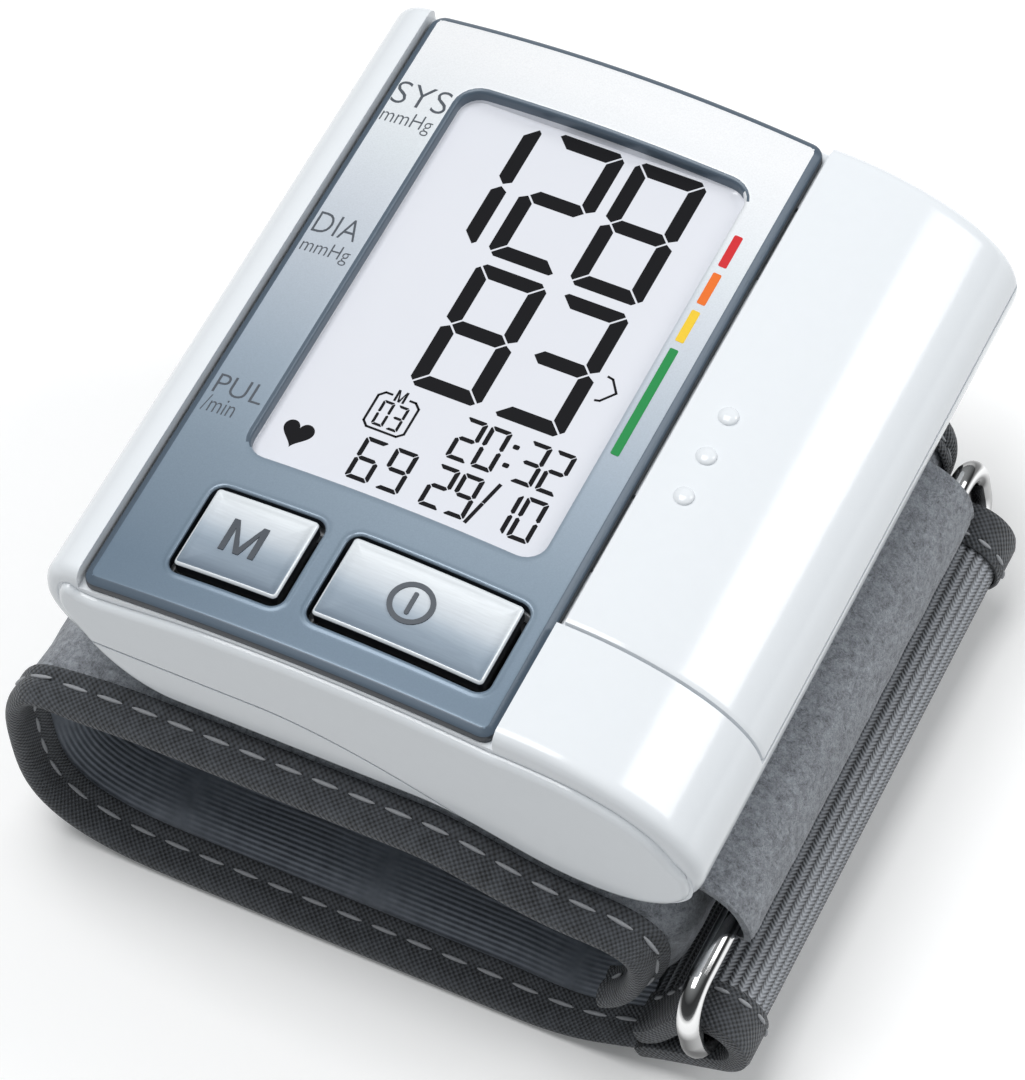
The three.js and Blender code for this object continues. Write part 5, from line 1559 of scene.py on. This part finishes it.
def webbing_material():
    """Ribbed webbing: a herringbone of light and dark yarns in each rib, and painted shade that darkens each
    rib's groove and lightens its crest.
    """
    material, tree, shader = new_material("webbing_herringbone", {"Roughness": 0.55, "Sheen Weight": 0.2})
    chart = add_node(tree, "ShaderNodeUVMap", uv_map="UVMap")
    apart = add_node(tree, "ShaderNodeSeparateXYZ")
    rib = add_node(tree, "ShaderNodeMath", {1: RIB_PITCH / 2}, operation="PINGPONG")
    slope = add_node(tree, "ShaderNodeMath", {1: 0.9}, operation="MULTIPLY_ADD")
    turn = add_node(tree, "ShaderNodeMath", {1: 2 * math.pi / 0.42}, operation="MULTIPLY")
    wave = add_node(tree, "ShaderNodeMath", operation="SINE")
    level = add_node(tree, "ShaderNodeMath", {1: 0.18, 2: 0.18}, operation="MULTIPLY_ADD")
    # The rib term darkens each rib's groove and lightens its crest as painted shade; the sine is the
    # herringbone.
    tone_and_painted_shade = add_node(tree, "ShaderNodeMath", {1: 1.15}, operation="MULTIPLY_ADD")
    ramp = add_node(tree, "ShaderNodeValToRGB")
    set_stops(ramp, [(0.2, srgb(30, 32, 36)), (0.9, srgb(184, 188, 195))])
    bump = add_node(tree, "ShaderNodeBump", {"Strength": 0.7, "Distance": 0.2 * MM})
    join(tree, (chart, "UV", apart, 0), (apart, "X", rib, 0), (rib, 0, slope, 0), (apart, "Y", slope, 2),
         (slope, 0, turn, 0), (turn, 0, wave, 0), (wave, 0, level, 0), (rib, 0, tone_and_painted_shade, 0),
         (level, 0, tone_and_painted_shade, 2), (tone_and_painted_shade, 0, ramp, 0), (ramp, "Color", shader, "Base Color"),
         (level, 0, bump, "Height"), (bump, "Normal", shader, "Normal"))
    return material


def ribbed_section(travel):
    """The webbing's section, whose outer face swells once per rib along the strap."""
    swell = RIB_SWELL * (1 - abs(math.sin(math.pi * travel / RIB_PITCH)))
    return band_section(swell, STRAP, STRAP_FRONT, STRAP_BACK, 12)


strap_path = strap_line()
rib_path = even(strap_path, 0.183)
webbing = strap_swept("strap_webbing_band", rib_path, ribbed_section)
smooth(webbing, 70)
wear(webbing, webbing_material())
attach(webbing, "housing")
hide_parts("strap_webbing")

cap_path = even(rib_path, 0.5)
for name, edge, side in (("front", STRAP_FRONT - CAP_PROUD, 1), ("rear", STRAP_BACK + CAP_PROUD, -1)):
    lip = edge + side * (CAP_REACH + CAP_PROUD)
    outer = [(-0.35, lip), (-CAP_PROUD, lip - side * 0.25), (-CAP_PROUD, edge + side * 0.7),
             (-0.35, edge + side * 0.15), (0.1, edge)]
    inner = [(STRAP - depth, y) for depth, y in reversed(outer)]
    fold = edge + side * CAP_PROUD
    section = outer + inner + [(STRAP + 0.15, lip), (STRAP + 0.15, fold), (-0.15, fold), (-0.15, lip)]
    cap = strap_swept(f"strap_tape_{name}", cap_path, lambda travel: section)
    smooth(cap, 50)
    wear(cap, tape_cloth)
    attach(cap, "housing")
    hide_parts(f"strap_cap_{name}")
    seam = []
    for point, normal in list(zip(cap_path, left_normals(cap_path)))[3:-3]:
        moved = point - normal * 0.6
        seam.append((moved.x, lip - side * 0.9, moved.y))
    row = stitched(f"strap_tape_stitches_{name}", seam, CAP_PITCH, CAP_STITCH)
    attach(row, "housing")

# Stage: a white table in an evenly lit room, with a broad light above and a small one at the right rear.
# The camera looks down on the front right corner of the monitor.
FLOOR_HALF = 2
LIGHT_TARGET = Vector((0, 0, 0.02))
floor_mesh = bpy.data.meshes.new("floor")
floor_corners = [(x * FLOOR_HALF, y * FLOOR_HALF, 0) for x, y in ((-1, -1), (1, -1), (1, 1), (-1, 1))]
floor_mesh.from_pydata(floor_corners, [], [(0, 1, 2, 3)])
floor = shown("floor", floor_mesh)


def floor_material():
    """A matt white table that looks white where it is seen and throws back the light of a pale grey one."""
    values = {"Roughness": 0.9, "Emission Color": (1, 1, 1, 1)}
    material, tree, shader = new_material("floor_white", values)
    rays = add_node(tree, "ShaderNodeLightPath")
    mirrored = add_node(tree, "ShaderNodeMath", operation="MAXIMUM")
    seen = add_node(tree, "ShaderNodeMath", operation="MAXIMUM")
    whites = {"A": srgb(222, 222, 222), "B": srgb(255, 255, 255)}
    paint = add_node(tree, "ShaderNodeMix", whites, data_type="RGBA")
    glow = add_node(tree, "ShaderNodeMath", {1: 0.07}, operation="MULTIPLY")
    join(tree, (rays, "Is Glossy Ray", mirrored, 0), (rays, "Is Transmission Ray", mirrored, 1),
         (mirrored, 0, seen, 0), (rays, "Is Camera Ray", seen, 1), (seen, 0, paint, "Factor"),
         (paint, "Result", shader, "Base Color"), (seen, 0, glow, 0), (glow, 0, shader, "Emission Strength"))
    return material


wear(floor, floor_material())

world = bpy.data.worlds.new("room")
bpy.context.scene.world = world
world.use_nodes = True
backdrop = world.node_tree.nodes["Background"]
backdrop.inputs["Color"].default_value = (0.95, 0.985, 1, 1)
backdrop.inputs["Strength"].default_value = 0.295


def area_light(name, place, width, height, power, roll=0):
    """A soft rectangular light that faces the monitor, turned about its own axis by a roll in degrees."""
    lamp = bpy.data.lights.new(name, "AREA")
    lamp.shape = "RECTANGLE"
    lamp.size = width
    lamp.size_y = height
    lamp.energy = power
    holder = shown(name, lamp)
    holder.location = place
    facing = (LIGHT_TARGET - Vector(place)).to_track_quat("-Z", "Y")
    holder.rotation_euler = (facing @ Quaternion((0, 0, 1), math.radians(roll))).to_euler()


area_light("top_light", (-0.25, 0, 1.48), width=0.9, height=0.9, power=15.8)
area_light("side_light", (0.457, 0.328, 0.437), width=0.37, height=0.2, power=1.3, roll=66.9)

camera_data = bpy.data.cameras.new("camera")
camera_data.sensor_fit = "VERTICAL"
camera_data.sensor_height = 36
camera_data.lens = 166.67
camera_data.clip_start = 0.01
camera = shown("camera", camera_data)
right = Vector((0.89423753, 0.44286097, -0.06491064))
up = Vector((-0.33855628, 0.76410615, 0.54910968))
back = Vector((0.29277786, -0.46905858, 0.83322576))
camera.matrix_world = Matrix((right, up, back)).transposed().to_4x4()
camera.location = home + Vector((129.482, -214.504, 353.992)) * MM
bpy.context.scene.camera = camera
bpy.context.scene.view_settings.view_transform = "Standard"
